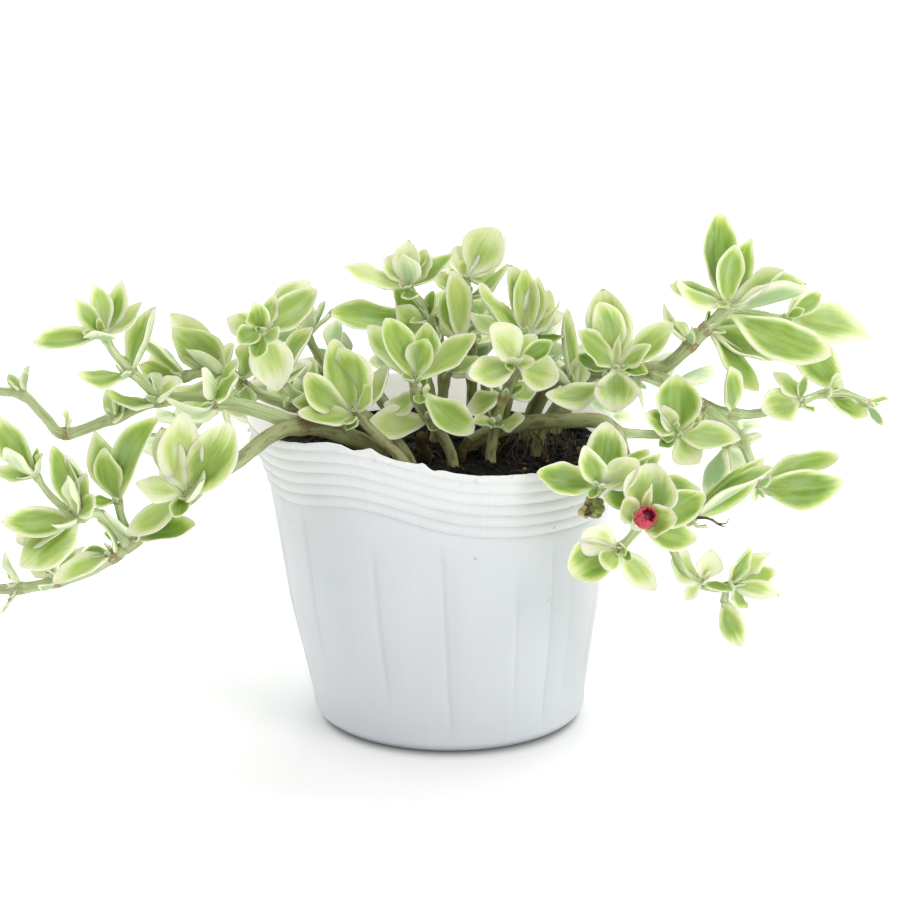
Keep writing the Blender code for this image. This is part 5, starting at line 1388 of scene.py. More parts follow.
@dataclass(frozen=True)
class LeafyStem:
    """One shoot: its stems as one piece and its leaves as another."""

    shoot: Shoot
    foliage: Foliage
    stem_step: float = 1.5
    stem_sides: int = 12
    stem_bud: float = 2.4
    leaf_sides: int = 10
    leaf_steps: int = 10
    swelling: float = 0.45      # a node stands out this far
    swelling_width: float = 1.7
    ridges: float = 0.045       # how far the stem's section is from round, by radius
    unevenness: float = 0.16
    wander_scale: float = 0.45  # how fine the unevenness is
    thick: float = 2.2          # stems thicker than this are older
    thick_age: float = 0.42
    old_thick: float = 2.6      # and these are the oldest
    old_along: Pair = (15.0, 75.0)      # bark thins out between these lengths
    thick_old_along: Pair = (35.0, 130.0)

    def sections(self, stem: Stem, nodes: list[Vector]) -> tuple[Rail, list[float], list[float]]:
        """Work out a stem's rail, radii and node marks.

        Args:
            stem: the stem.
            nodes: where leaves or branches leave the shoot.

        Returns:
            The rail, the radius at each of its points, and how near each is to a node.
        """
        points = smooth_route(stem.route, self.stem_step)
        points.append(points[-1] + (points[-1] - points[-2]).normalized() * self.stem_bud)
        rail = Rail.along(points)
        total = rail.lengths[-1]
        radii, marks = [], []
        for point, walked in zip(rail.points, rail.lengths):
            plain = stem.radii[0] + (stem.radii[1] - stem.radii[0]) * walked / total
            apart = min((point - node).length for node in nodes)
            near = bump_at(max(0.0, apart - 0.5 * plain), 0.0, self.swelling_width)
            closing = math.sqrt(max(0.05, 1.0 - max(0.0, 1.0 - (total - walked) / self.stem_bud) ** 2))
            radii.append((plain + self.swelling * near) * closing)
            marks.append(bump_at(max(0.0, apart - plain), 0.0, 0.5))
        return rail, radii, marks

    def stem_piece(self, finish: Material) -> None:
        """Sweep the shoot's stems.

        Args:
            finish: the stem's material.
        """
        nodes = [Vector(sprig.at) for sprig in self.foliage.sprigs(self.shoot)]
        nodes += [Vector(stem.route[0]) for stem in self.shoot.stems]
        shape = bmesh.new()
        tube = shape.verts.layers.float_vector.new("tube")
        mark = shape.verts.layers.float_vector.new("mark")
        for stem in self.shoot.stems:
            rail, radii, marks = self.sections(stem, nodes)
            from_soil = stem is self.shoot.stems[0]
            full, none = self.thick_old_along if stem.radii[0] > self.old_thick else self.old_along

            def onto(turn: float, share: float) -> Vector:
                """The uneven skin of this stem.

                Args:
                    turn: the angle about its line.
                    share: the share of the way along it.

                Returns:
                    The point in millimetres.
                """
                number = rail.number(share)
                radius = radii[number] * (1.0 + self.ridges * math.cos(4.0 * turn))
                wander = noise.noise(rail.on(number, turn, radius) * self.wander_scale)
                return rail.on(number, turn, radius + self.unevenness * wander)

            for vertex, turn, share in drawn_sphere(shape, self.stem_sides, rail.steps(), onto):
                number = rail.number(share)
                radius = radii[number]
                age = soft_step(rail.lengths[number], none, full)
                age = max(age if from_soil else 0.0, self.thick_age if stem.radii[0] > self.thick else 0.0)
                vertex[tube] = (radius * math.cos(turn), radius * math.sin(turn), rail.lengths[number])
                vertex[mark] = (marks[number], age, radius)
        piece_from(f"{self.shoot.name}_stems", shape, finish, "leaf", self.shoot.name)

    def leaf_piece(self, finish: Material) -> None:
        """Make the shoot's leaves.

        Args:
            finish: the leaf's material.
        """
        shape = leafy_mesh()
        leaves = self.foliage.leaves(self.shoot)
        for blade in leaves:
            blade.add_to(shape, self.leaf_sides, self.leaf_steps)
        Bud().make_room(shape)
        log.info("%s: %d leaves", self.shoot.name, len(leaves))
        piece_from(f"{self.shoot.name}_leaves", shape, finish, "leaf", self.shoot.name, fine=1)


@dataclass(frozen=True)
class Crease:
    """One upright crease of the soft wall; the angle is in degrees from the front, to the right."""

    angle: float
    low: float
    high: float
    depth: float


@dataclass(frozen=True)
class Pot:
    """The thin, soft pot with its grooved band, upright creases and torn rim."""

    height: float = 95.5
    wall: float = 1.0
    base_thick: float = 1.2
    lean: float = -4.5
    band_bottom: float = 74.0
    ribs: int = 5
    rib_depth: float = 0.34
    rib_crest: float = 0.2
    rim_plain: float = 2.5
    outline: tuple[Pair, ...] = ((0.0, 40.5), (2.0, 42.5), (5.0, 43.8), (37.0, 49.8), (74.0, 54.2),
                                 (95.5, 60.0))
    lip: float = 0.25           # the rim's edges are cut off by this
    rib_rows: int = 12          # rows of points up each rib
    outer_rows: tuple[float, ...] = (73.0, 71.0, 68.0, 64.0, 60.0, 55.0, 50.0, 45.0, 40.0, 35.0, 30.0,
                                     25.0, 20.0, 16.0, 12.0, 9.0, 6.5)
    inner_rows: tuple[float, ...] = (5.0, 37.0, 60.0, 74.0, 80.0, 84.0, 88.0, 91.0, 93.5)
    foot: tuple[float, float, float] = (40.3, 3.7, 4.2)     # where its rounding starts, its width and height
    foot_rows: int = 6
    lift_from: float = 40.0
    lift_tilt: float = 3.0
    lift_wave: float = 6.5
    wave_at: float = math.radians(-25.0)
    wave_half_width: float = math.radians(26.0)
    drain_holes: int = 6
    drain_radius: float = 4.0
    drain_circle: float = 27.0
    steps: int = 400
    front_creases: tuple[Crease, ...] = (
        Crease(-52.0, 24.0, 74.0, 0.42), Crease(-23.0, 16.0, 66.0, 0.5), Crease(1.0, 3.0, 72.0, 0.4),
        Crease(27.0, 10.0, 60.0, 0.34), Crease(42.0, 3.0, 72.0, 0.42), Crease(53.0, 12.0, 68.0, 0.26),
        Crease(73.0, 14.0, 72.0, 0.42), Crease(-76.0, 8.0, 70.0, 0.4))
    back_creases: range = range(98, 260, 24)    # about where those round the back stand, in degrees
    crease_width: float = 0.75
    crease_reach: float = 14.0  # degrees to each side
    crease_fade: Pair = (9.0, 7.0)      # length of its lower and upper end
    crease_side: tuple[float, float, float] = (0.45, 1.8, 2.4)  # share, place and width of the dip beside it
    soft_scale: Pair = (2.2, 0.018)      # of the soft wall's dents, round it and up it
    soft_depth: float = 0.55
    soft_from: Pair = (2.0, 20.0)       # the stiff foot gives way to it between these
    torn: float = 3.0           # the torn rim pulls at this much of the wall
    ragged: tuple[Pair, ...] = ((3.0, 0.35), (14.0, 0.22), (42.0, 0.16))     # scale, size
    soiled: Pair = (0.7, 0.35)  # painted shade of a crease and of a groove, by depth
    mean_radius: float = 50.0   # turns an angle into a length round the wall
    sharp: float = math.radians(50.0)
    tears: tuple[tuple[float, float, float], ...] = (       # angle, half width, height
        (-33.0, 5.0, 0.5), (-25.0, 2.5, -1.1), (-19.0, 1.6, 0.8), (-12.0, 3.0, -0.5), (-3.5, 1.5, 0.9),
        (-0.5, 1.5, -0.7), (64.0, 3.0, -0.8), (118.0, 4.0, -1.0), (171.0, 2.0, 0.8), (-140.0, 3.0, -0.9))

    def radius_at(self, height: float) -> float:
        """Read the outer radius of the plain wall.

        Args:
            height: in the straight pot.

        Returns:
            The radius.
        """
        for (low, low_radius), (high, high_radius) in zip(self.outline, self.outline[1:]):
            if height <= high:
                share = max(0.0, height - low) / (high - low)
                return low_radius + share * (high_radius - low_radius)
        return self.outline[-1][1]

    def lift(self, height: float, angle: float) -> float:
        """Work out how far the soft wall is pushed up.

        Args:
            height: in the straight pot.
            angle: from the front.

        Returns:
            The lift in millimetres.
        """
        off = (angle - self.wave_at + math.pi) % math.tau - math.pi
        wave = self.lift_wave * bump_at(off, 0.0, self.wave_half_width)
        return soft_step(height, self.lift_from, self.band_bottom) * (wave - self.lift_tilt * math.sin(angle))

    def leaned(self, radius: float, height: float, angle: float) -> Vector:
        """The place that a point of the straight pot takes in the soft, leaning one."""
        return Vector((radius * math.sin(angle) + self.lean * height / self.height,
                       -radius * math.cos(angle), height + self.lift(height, angle)))

    def rib(self, height: float) -> float:
        """Work out how far the ribbed band stands out.

        Args:
            height: in the straight pot.

        Returns:
            The distance in millimetres, which is below zero in its grooves.
        """
        pitch = (self.height - self.rim_plain - self.band_bottom) / self.ribs
        place = (height - self.band_bottom) / pitch
        if not 0.0 <= place <= self.ribs:
            return 0.0
        crown = abs(math.sin(math.pi * place)) ** 0.9
        return self.rib_crest * crown - self.rib_depth * (1.0 - crown)

    def creases(self) -> list[Crease]:
        """List the creases.

        Returns:
            Those seen from the front, and those set round the back by seeded draws.
        """
        draw = random.Random(5)
        behind = [Crease(angle + draw.uniform(-4.0, 4.0), draw.uniform(3.0, 20.0), draw.uniform(62.0, 73.0),
                         draw.uniform(0.3, 0.5)) for angle in self.back_creases]
        return [*self.front_creases, *behind]

    def pull(self, angle: float, height: float, creases: list[Crease]) -> float:
        """How far creases and softness pull the wall in.

        Args:
            angle: from the front, in degrees.
            height: in the straight pot.
            creases: all creases.

        Returns:
            The pull in millimetres.
        """
        pulled = 0.0
        (fade_in, fade_out), (share, place, width) = self.crease_fade, self.crease_side
        for crease in creases:
            off = (angle - crease.angle + 180.0) % 360.0 - 180.0
            if abs(off) < self.crease_reach:
                aside = math.radians(off) * self.mean_radius
                reach = soft_step(height, crease.low, crease.low + fade_in)
                reach *= soft_step(height, crease.high, crease.high - fade_out)
                fold = bump_at(aside, 0.0, self.crease_width) + share * bump_at(aside, place, width)
                pulled += crease.depth * fold * reach
        turn = math.radians(angle)
        around, up = self.soft_scale
        softness = noise.noise(Vector((around * math.sin(turn), around * math.cos(turn), height * up)))
        return pulled + self.soft_depth * softness * soft_step(height, *self.soft_from)

    def tear(self, angle: float) -> float:
        """Work out how far the torn rim stands above or below its even line.

        Args:
            angle: from the front, in degrees.

        Returns:
            The distance in millimetres.
        """
        turn = math.radians(angle)
        rough = 0.0
        for scale, size in self.ragged:
            rough += size * noise.noise(Vector((scale * math.sin(turn), scale * math.cos(turn), scale)))
        for at, width, size in self.tears:
            rough += size * bump_at((angle - at + 180.0) % 360.0 - 180.0, 0.0, width)
        return rough

    def profile(self) -> list[tuple[float, float, float]]:
        """Draw the wall's profile, down the outside, across the base and up the inside.

        Returns:
            The radius and height of each point, with one on the outside and zero on the inside.
        """
        outer = [(self.radius_at(self.height) - self.lip, self.height, 1.0)]
        top = self.height - self.rim_plain
        rows = self.rib_rows * self.ribs
        heights = [self.height - 0.3, self.height - 1.0, self.height - 1.8]
        heights += [top - (top - self.band_bottom) * number / rows for number in range(rows + 1)]
        outer += [(self.radius_at(height) + self.rib(height), height, 1.0) for height in heights]
        outer += [(self.radius_at(height), height, 1.0) for height in self.outer_rows]
        foot, wide, tall = self.foot
        for number in range(self.foot_rows + 1):
            bend = math.pi / 2 * number / self.foot_rows
            outer.append((foot + wide * math.cos(bend), tall - tall * math.sin(bend), 1.0))
        outer += [(radius, 0.0, 1.0) for radius in (39.0, 24.0, 0.0)]
        inner = [(radius, self.base_thick, 0.0) for radius in (0.0, 24.0, 39.5)]
        inner += [(self.radius_at(height) - self.wall, height, 0.0)
                  for height in (*self.inner_rows, self.height - 0.3)]
        inner.append((self.radius_at(self.height) - self.wall + self.lip, self.height, 0.0))
        return outer + inner

    def shape(self) -> BMesh:
        """Turn the wall, then lean, crease and tear it.

        Returns:
            The pot in millimetres, with what its finish reads.
        """
        shape = bmesh.new()
        wall = shape.verts.layers.float_vector.new("wall")
        shell = shape.verts.layers.float_vector.new("shell")
        points = []
        for radius, height, outside in self.profile():
            point = shape.verts.new((radius, 0.0, height))
            point[shell] = (outside, 0.0, 0.0)
            points.append(point)
        loop = points + points[:1]
        edges = [shape.edges.new(pair) for pair in zip(loop, loop[1:]) if pair[0].co.x + pair[1].co.x > 0]
        turn_round(shape, points, edges, self.steps)
        creases = self.creases()
        for vertex in shape.verts:
            straight = vertex.co.copy()
            radius = math.hypot(straight.x, straight.y)
            turn = math.atan2(straight.x, -straight.y)
            angle = math.degrees(turn)
            pulled = self.pull(angle, straight.z, creases)
            height = straight.z
            if height > self.height - self.torn:
                height += self.tear(angle) * (height - self.height + self.torn) / self.torn
            if radius > self.drain_circle + 2 * self.drain_radius:
                vertex.co = self.leaned(radius - pulled, height, turn)
            # painted shade: creases and grooves are marked greyer by their depth
            crease, groove = self.soiled
            sunk_shade = max(0.0, crease * pulled) + max(0.0, -groove * self.rib(straight.z))
            vertex[wall] = (turn * self.mean_radius, straight.z, min(1.0, sunk_shade))
        return shape

    def piece(self, finish: Material) -> None:
        """Make the pot and pierce its base.

        Args:
            finish: its material.
        """
        shape = self.shape()
        drills = bpy.data.collections.new("drills")
        for number in range(self.drain_holes):
            turn = math.tau * (number + 0.5) / self.drain_holes
            drill = bmesh.new()
            place = Matrix.Translation((self.drain_circle * math.cos(turn) * MM,
                                        self.drain_circle * math.sin(turn) * MM, 0.0))
            bmesh.ops.create_cone(drill, cap_ends=True, segments=32, radius1=self.drain_radius * MM,
                                  radius2=self.drain_radius * MM, depth=6 * self.base_thick * MM,
                                  matrix=place)
            drills.objects.link(bpy.data.objects.new("drill", mesh_of("drill", drill)))
        pot = piece_from("pot_shell", shape, finish, "pot", "pot")
        cut = pot.modifiers.new("drain", "BOOLEAN")
        cut.operand_type = "COLLECTION"
        cut.collection = drills
        cut.operation = "DIFFERENCE"
        cut.solver = "MANIFOLD"
        pierced = bpy.data.meshes.new_from_object(pot.evaluated_get(bpy.context.evaluated_depsgraph_get()))
        pot.modifiers.remove(cut)
        pot.data = pierced
        for drill in list(drills.objects):
            bpy.data.objects.remove(drill, do_unlink=True)
        bpy.data.collections.remove(drills)
        for vertex, side in zip(pierced.vertices, pierced.attributes["shell"].data):
            if vertex.co.z < 2 * self.base_thick * MM:
                side.vector = (1.0, 0.0, 0.0)     # the drains are as white as the outside
        pierced.set_sharp_from_angle(angle=self.sharp)


class Bit(Enum):
    """What lies in the soil: how many, smallest and largest size, and how long and flat it is."""

    CRUMB = (1300, 0.35, 1.4, 1.0, 0.8)
    SLIVER = (210, 0.35, 0.8, 4.5, 0.5)
    GRAIN = (22, 0.6, 1.1, 1.2, 0.8)


@dataclass(frozen=True)
class Soil:
    """The soil in the pot, with crumbs, slivers of bark, pale grains and roots on it."""

    pot: Pot
    level: float = 85.5
    waves: float = 0.8
    drawn_side: float = 50.0
    gap: float = 0.3
    foot_height: float = 5.0    # below this the soil follows the pot's rounded foot
    foot_inset: float = 1.5
    rounds: int = 12            # in which the wall's lift is found at a given height
    steps: int = 260
    rings: int = 56
    lumps: tuple[Pair, ...] = ((0.10, 1.5), (0.28, 1.1), (0.75, 0.6))    # scale, height
    roots: int = 75
    side_rows: tuple[float, ...] = (78.0, 60.0, 40.0, 20.0, 5.0)
    stubs: tuple[tuple[Point, Point, float], ...] = (
        ((-14.0, -8.0, 84.0), (-21.0, -13.0, 96.0), 1.7), ((-7.0, -3.0, 84.0), (-9.0, -9.0, 94.0), 2.4),
        ((3.0, -5.0, 84.0), (6.0, -11.0, 92.5), 2.2), ((10.0, -2.0, 84.0), (15.0, -7.0, 91.0), 1.5),
        ((-22.0, 0.0, 84.0), (-33.0, -4.0, 95.0), 1.6), ((14.0, 8.0, 84.0), (19.0, 4.0, 93.0), 2.0),
        ((-1.0, 22.0, 84.0), (-5.0, 27.0, 92.0), 1.8))

    def edge(self, height: float, angle: float) -> Vector:
        """The point of the soil's side that lies just inside the leaning wall.

        Args:
            height: the point's own height.
            angle: from the front, positive to the right.

        Returns:
            The point in millimetres.
        """
        straight = height
        for _ in range(self.rounds):
            straight = height - self.pot.lift(straight, angle)
        pulled = max(0.0, self.pot.pull(math.degrees(angle), straight, []))
        radius = self.pot.radius_at(straight) - self.pot.wall - pulled - self.gap
        if height < self.foot_height:
            radius -= self.foot_inset
        edge = self.pot.leaned(radius, straight, angle)
        edge.z = height
        return edge

    def top(self, x: float, y: float) -> float:
        """Work out the height of the uneven soil.

        Args:
            x: the place to the right.
            y: the place away from the viewer.

        Returns:
            The height in millimetres.
        """
        waves = math.sin(0.11 * x + 0.5) * math.cos(0.09 * y) + math.sin(0.21 * y)
        height = self.level + self.waves * waves
        for number, (scale, size) in enumerate(self.lumps):
            height += size * (noise.noise(Vector((x * scale, y * scale, 7.0 * number))) - 0.1)
        return height

    def body(self, finish: Material) -> None:
        """Make the soil that fills the pot.

        Args:
            finish: its material.
        """
        bottom = self.pot.base_thick + self.gap
        profile = [(self.drawn_side * number / self.rings, self.level) for number in range(self.rings)]
        profile += [(self.drawn_side, height) for height in (self.level - 0.4, *self.side_rows, bottom)]
        profile += [(0.0, bottom)]
        shape = bmesh.new()
        points = [shape.verts.new((radius, 0.0, height)) for radius, height in profile]
        edges = [shape.edges.new(pair) for pair in zip(points, points[1:])]
        turn_round(shape, points, edges, self.steps)
        for vertex in shape.verts:
            radius = math.hypot(vertex.co.x, vertex.co.y)
            angle = math.atan2(vertex.co.x, -vertex.co.y)
            if radius > self.drawn_side - 0.1:
                vertex.co = self.edge(vertex.co.z, angle)
            elif vertex.co.z > bottom + 1.0:
                rim = self.edge(self.level, angle)
                share = radius / self.drawn_side
                x, y = rim.x * share, rim.y * share
                vertex.co = Vector((x, y, self.top(x, y)))
        piece_from("soil_body", shape, finish, "soil", "soil")

    def spot(self, draw: random.Random, spread: float = 0.97) -> Vector:
        """Draw an even place on the soil.

        Args:
            draw: the seeded draws.
            spread: share of the way to the wall that is used.

        Returns:
            The place in millimetres.
        """
        angle = draw.uniform(-math.pi, math.pi)
        rim = self.edge(self.level, angle)
        share = math.sqrt(draw.random()) * spread
        return Vector((rim.x * share, rim.y * share, self.top(rim.x * share, rim.y * share)))

    def bits(self, kind: Bit, finish: Material) -> None:
        """Strew one kind of bit.

        Args:
            kind: which.
            finish: its material.
        """
        count, small, large, long, flat = kind.value
        draw = random.Random(kind.name)
        shape = bmesh.new()
        for _ in range(count):
            size = small + (large - small) * draw.random() ** 2
            made = copy_in(shape, pebble(1))
            for vertex in made:
                vertex.co *= draw.uniform(0.7, 1.2)
            turn = Matrix.Rotation(draw.uniform(0.0, math.tau), 4, "Z")
            tip = Matrix.Rotation(draw.uniform(-0.5, 0.5), 4, "Y")
            stretch = Matrix.Diagonal((size * long * draw.uniform(0.7, 1.1), size, size * flat, 1.0))
            place = Matrix.Translation(self.spot(draw) + Vector((0, 0, size * draw.uniform(0.0, 0.5))))
            bmesh.ops.transform(shape, matrix=place @ turn @ tip @ stretch, verts=made)
        piece_from(f"soil_{kind.name.lower()}s", shape, finish, "soil")

    def root_piece(self, finish: Material) -> None:
        """Lay fine roots on the soil and hang some from the stems near it.

        Args:
            finish: their material.
        """
        draw = random.Random(21)
        shape = bmesh.new()
        for number in range(self.roots):
            start = self.spot(draw, 0.8)
            end = start + Vector((draw.uniform(-9.0, 9.0), draw.uniform(-7.0, 7.0), 0.0))
            end.z = self.top(end.x, end.y)
            lift = draw.uniform(0.4, 2.2)
            if number % 3 == 0:
                start = Vector((draw.uniform(16.0, 42.0), draw.uniform(-12.0, 6.0), draw.uniform(92.0, 97.0)))
                end = Vector((start.x + draw.uniform(-5.0, 5.0), start.y + draw.uniform(-3.0, 5.0), 0.0))
                end.z = self.top(end.x, end.y) - 0.5
                lift = draw.uniform(-1.0, 1.0)
            middle = (start + end) / 2 + Vector((draw.uniform(-1.5, 1.5), draw.uniform(-1.5, 1.5), lift))
            add_tube(shape, [tuple(start), tuple(middle), tuple(end)], draw.uniform(0.13, 0.3), 0.1, 5, 1.2)
        piece_from("soil_roots", shape, finish, "soil")

    def stub_piece(self, finish: Material) -> None:
        """Stand the old, broken stem stubs of the crown.

        Args:
            finish: their material.
        """
        draw = random.Random(8)
        shape = bmesh.new()
        for foot, end, radius in self.stubs:
            middle = (Vector(foot) + Vector(end)) / 2 + Vector((draw.uniform(-1, 1), draw.uniform(-1, 1), 0))
            add_tube(shape, [foot, tuple(middle), end], radius, radius * 0.7, 9, 1.0, rough=0.45)
        piece_from("crown_stubs", shape, finish, "soil")


def add_tube(shape: BMesh, route: list[Point], first: float, last: float, sides: int,
             step: float, rough: float = 0.0) -> None:
    """Add a tapering tube through a route.

    Args:
        shape: the mesh.
        route: the points that it passes.
        first: its radius at the start.
        last: its radius at the end.
        sides: of its section.
        step: between its rings.
        rough: how far its skin is pushed in and out.
    """
    rail = Rail.along(smooth_route(route, step))

    def onto(turn: float, share: float) -> Vector:
        """The rough skin of the tube.

        Args:
            turn: the angle about its line.
            share: the share of the way along it.

        Returns:
            The point in millimetres.
        """
        number = rail.number(share)
        radius = first + (last - first) * number / (len(rail.points) - 1)
        return rail.on(number, turn, radius + rough * noise.noise(rail.on(number, turn, radius) * 1.1))

    drawn_sphere(shape, sides, rail.steps(), onto)


@dataclass(frozen=True)
class Bud:
    """The closed red bud in its green cup."""

    at: Point = BUD_AT
    axis: Point = (0.42, -0.66, 0.62)
    petals: int = 12
    petal_half_angle: float = 0.3
    petal_thick: float = 0.26
    overlap: float = 0.22       # every other petal stands this much further out
    tall: tuple[float, ...] = (0.35, -0.1, 0.15, -0.25, 0.3, 0.0)   # added to the petals in turn
    core_at: Point = (0.0, 0.0, 2.9)
    core_size: Point = (2.5, 2.5, 2.0)      # half sizes of the dark middle, a ball of painted shade
    outline: tuple[Pair, ...] = ((1.9, 0.0), (2.55, 1.0), (2.85, 2.3), (2.95, 3.8), (2.85, 5.1),
                                 (2.6, 5.9), (2.2, 5.9), (1.9, 5.0))
    cup_outline: tuple[Pair, ...] = ((0.9, -4.8), (1.5, -3.4), (2.1, -1.8), (2.55, -0.4), (2.75, 0.8))
    sepals: int = 4
    sepal: tuple[Pair, ...] = ((2.5, -0.4), (3.9, 3.4))     # radius and height of its ends
    room: float = 3.3           # leaves keep this far from the bud's axis
    squeeze: float = 0.3        # how much of their spread they keep where they are pressed out
    room_from: Pair = (-0.5, 1.2)
    room_to: Pair = (9.0, 12.0)

    def matrix(self) -> Matrix:
        """Takes +Z to the bud's axis, from the place where it leaves its cup."""
        return Matrix.Translation(self.at) @ Vector(self.axis).to_track_quat("Z", "Y").to_matrix().to_4x4()

    def read(self, outline: tuple[Pair, ...], share: float) -> Pair:
        """Read an outline.

        Args:
            outline: its radii and heights.
            share: the share of the way along it.

        Returns:
            The radius and the height there.
        """
        place = min(0.9999, max(0.0, share)) * (len(outline) - 1)
        number = int(place)
        part = place - number
        (radius, height), (next_radius, next_height) = outline[number], outline[number + 1]
        return radius + (next_radius - radius) * part, height + (next_height - height) * part

    def make_room(self, shape: BMesh) -> None:
        """Press leaves outwards that would run into the bud.

        Args:
            shape: the leaves' mesh.
        """
        onto = self.matrix()
        back = onto.inverted()
        for vertex in shape.verts:
            spot = back @ vertex.co
            radius = max(0.01, math.hypot(spot.x, spot.y))
            share = soft_step(spot.z, *self.room_from) * (1.0 - soft_step(spot.z, *self.room_to))
            stretch = 1.0 + share * max(0.0, (self.room + self.squeeze * radius) / radius - 1.0)
            vertex.co = onto @ Vector((spot.x * stretch, spot.y * stretch, spot.z))

    def petal_piece(self, finish: Material) -> None:
        """Wrap the petals and close the middle with a dark ball of painted shade.

        Args:
            finish: their material.
        """
        matrix = self.matrix()
        shape = bmesh.new()
        layer = shape.verts.layers.float_vector.new("petal")
        for number in range(self.petals):
            middle = math.tau * number / self.petals
            offset = self.overlap * (number % 2 - 0.5)
            tall = self.tall[number % len(self.tall)]

            def onto(turn: float, share: float) -> Vector:
                """The skin of this petal.

                Args:
                    turn: the angle about its line.
                    share: the share of the way along it.

                Returns:
                    The point in millimetres.
                """
                radius, height = self.read(self.outline, share)
                half = self.petal_half_angle * (0.55 + 0.6 * math.sin(math.pi * min(1.0, share * 1.08)))
                angle = middle + half * math.cos(turn)
                out = radius + offset + self.petal_thick * (math.sin(turn) + 0.5 * math.cos(turn))
                height += tall * soft_step(share, 0.4, 0.9)
                return matrix @ Vector((out * math.cos(angle), out * math.sin(angle), height))

            for vertex, turn, share in drawn_sphere(shape, 8, 12, onto):
                # the third part marks the inner end, which takes painted shade
                vertex[layer] = (abs(math.cos(turn)), share, soft_step(share, 0.82, 0.95))
        # a dark ball of painted shade closes the middle
        made = copy_in(shape, ball(12, 8))
        for vertex in made:
            vertex[layer] = (0.0, 1.0, 1.0)
        core = matrix @ Matrix.Translation(self.core_at) @ Matrix.Diagonal((*self.core_size, 1.0))
        bmesh.ops.transform(shape, matrix=core, verts=made)
        piece_from("flower_bud_petals", shape, finish, "petal", "flower_bud", fine=1)

    def cup_piece(self, finish: Material) -> None:
        """Make the fleshy cup with its small sepals.

        Args:
            finish: the leaf's material.
        """
        matrix = self.matrix()
        shape = leafy_mesh()
        tint = shape.verts.layers.float_vector["tint"]
        edge = shape.verts.layers.float_vector["edge"]

        def onto(turn: float, share: float) -> Vector:
            """The skin of the cup."""
            radius, height = self.read(self.cup_outline, share)
            return matrix @ Vector((radius * math.cos(turn), radius * math.sin(turn), height))

        for vertex, _, share in drawn_sphere(shape, 16, 14, onto):
            vertex[edge] = (1.4 - share, 1.0, -1.0)
            vertex[tint] = (0.6, 0.5, 0.0)
        turned = matrix.to_3x3()
        for number in range(self.sepals):
            turn = math.tau * (number + 0.3) / self.sepals
            out = Vector((math.cos(turn), math.sin(turn), 0.0))
            base, tip = (matrix @ (out * radius + Vector((0, 0, height))) for radius, height in self.sepal)
            look = LeafLook(Variety.PALE, full=0.8, seed=3.0 * number)
            way = (tip - base).normalized()
            up = -(turned @ out)
            Blade(base, tip, (up - way * way.dot(up)).normalized(), 2.2, look, thick=1.0, bow=0.12,
                  root=0.8).add_to(shape, 8, 8)
        piece_from("flower_bud_cup", shape, finish, "leaf", fine=1)


@dataclass(frozen=True)
class OldBits:
    """The spent seed capsule and the dry bits among the leaves."""

    capsule_at: Point = (43.0, -53.5, 84.0)
    lobes: tuple[tuple[Point, Point], ...] = (
        ((1.5, -0.4, 1.7), (2.0, 2.3, 1.6)), ((2.1, -0.6, 0.0), (1.9, 2.4, 1.5)),
        ((1.2, -0.4, -1.6), (2.0, 2.3, 1.5)), ((-0.3, 0.6, 2.3), (1.7, 2.2, 1.4)),
        ((0.0, 0.9, 0.2), (2.6, 2.4, 2.6)))     # place, size
    knobs: tuple[tuple[Point, Point], ...] = (
        ((-3.0, -1.0, -0.9), (1.3, 1.4, 1.2)), ((-2.3, -1.4, 0.6), (0.9, 1.0, 0.9)),
        ((-1.7, -1.2, -2.2), (0.9, 1.0, 0.8)))
    crumbs: int = 15
    twigs: tuple[tuple[tuple[Point, ...], float], ...] = (
        (((75.0, -51.0, 80.2), (78.5, -52.0, 80.2), (81.5, -53.0, 79.0), (83.6, -53.4, 79.0),
          (84.6, -53.6, 80.6)), 0.5),
        (((79.5, -52.3, 80.0), (82.0, -53.1, 78.4), (83.8, -53.5, 78.0)), 0.42))

    def lump_piece(self, name: str, lumps: tuple[tuple[Point, Point], ...],
                   finish: Material) -> None:
        """Make the capsule's lobes or its pale knobs.

        Args:
            name: the piece's name.
            lumps: the place of each from the capsule's own, and its half sizes.
            finish: their material.
        """
        shape = bmesh.new()
        for place, size in lumps:
            made = copy_in(shape, pebble(3))
            matrix = Matrix.Translation(Vector(self.capsule_at) + Vector(place))
            bmesh.ops.transform(shape, matrix=matrix @ Matrix.Diagonal((*size, 1.0)), verts=made)
            for vertex in made:
                vertex.co += 0.3 * noise.noise(vertex.co * 0.9) * Vector((1.0, 1.0, 1.0))
        piece_from(name, shape, finish, "leaf")

    def husk_piece(self, finish: Material) -> None:
        """Make the dark scraps in the capsule and the dry twigs.

        Args:
            finish: their material.
        """
        draw = random.Random(4)
        shape = bmesh.new()
        for _ in range(self.crumbs):
            made = copy_in(shape, pebble(1))
            spread = Vector((draw.uniform(-2.4, -0.4), draw.uniform(-2.3, -1.5), draw.uniform(-2.2, 1.8)))
            wide, deep, tall = draw.uniform(0.3, 0.7), draw.uniform(0.2, 0.5), draw.uniform(0.3, 0.8)
            size = Matrix.Diagonal((wide, deep, tall, 1.0))
            turn = Matrix.Rotation(draw.uniform(0.0, math.tau), 4, "Y")
            place = Matrix.Translation(Vector(self.capsule_at) + spread)
            bmesh.ops.transform(shape, matrix=place @ turn @ size, verts=made)
        for route, radius in self.twigs:
            add_tube(shape, list(route), radius, 0.12, 6, 0.7, rough=0.12)
        piece_from("dry_bits", shape, finish, "leaf")


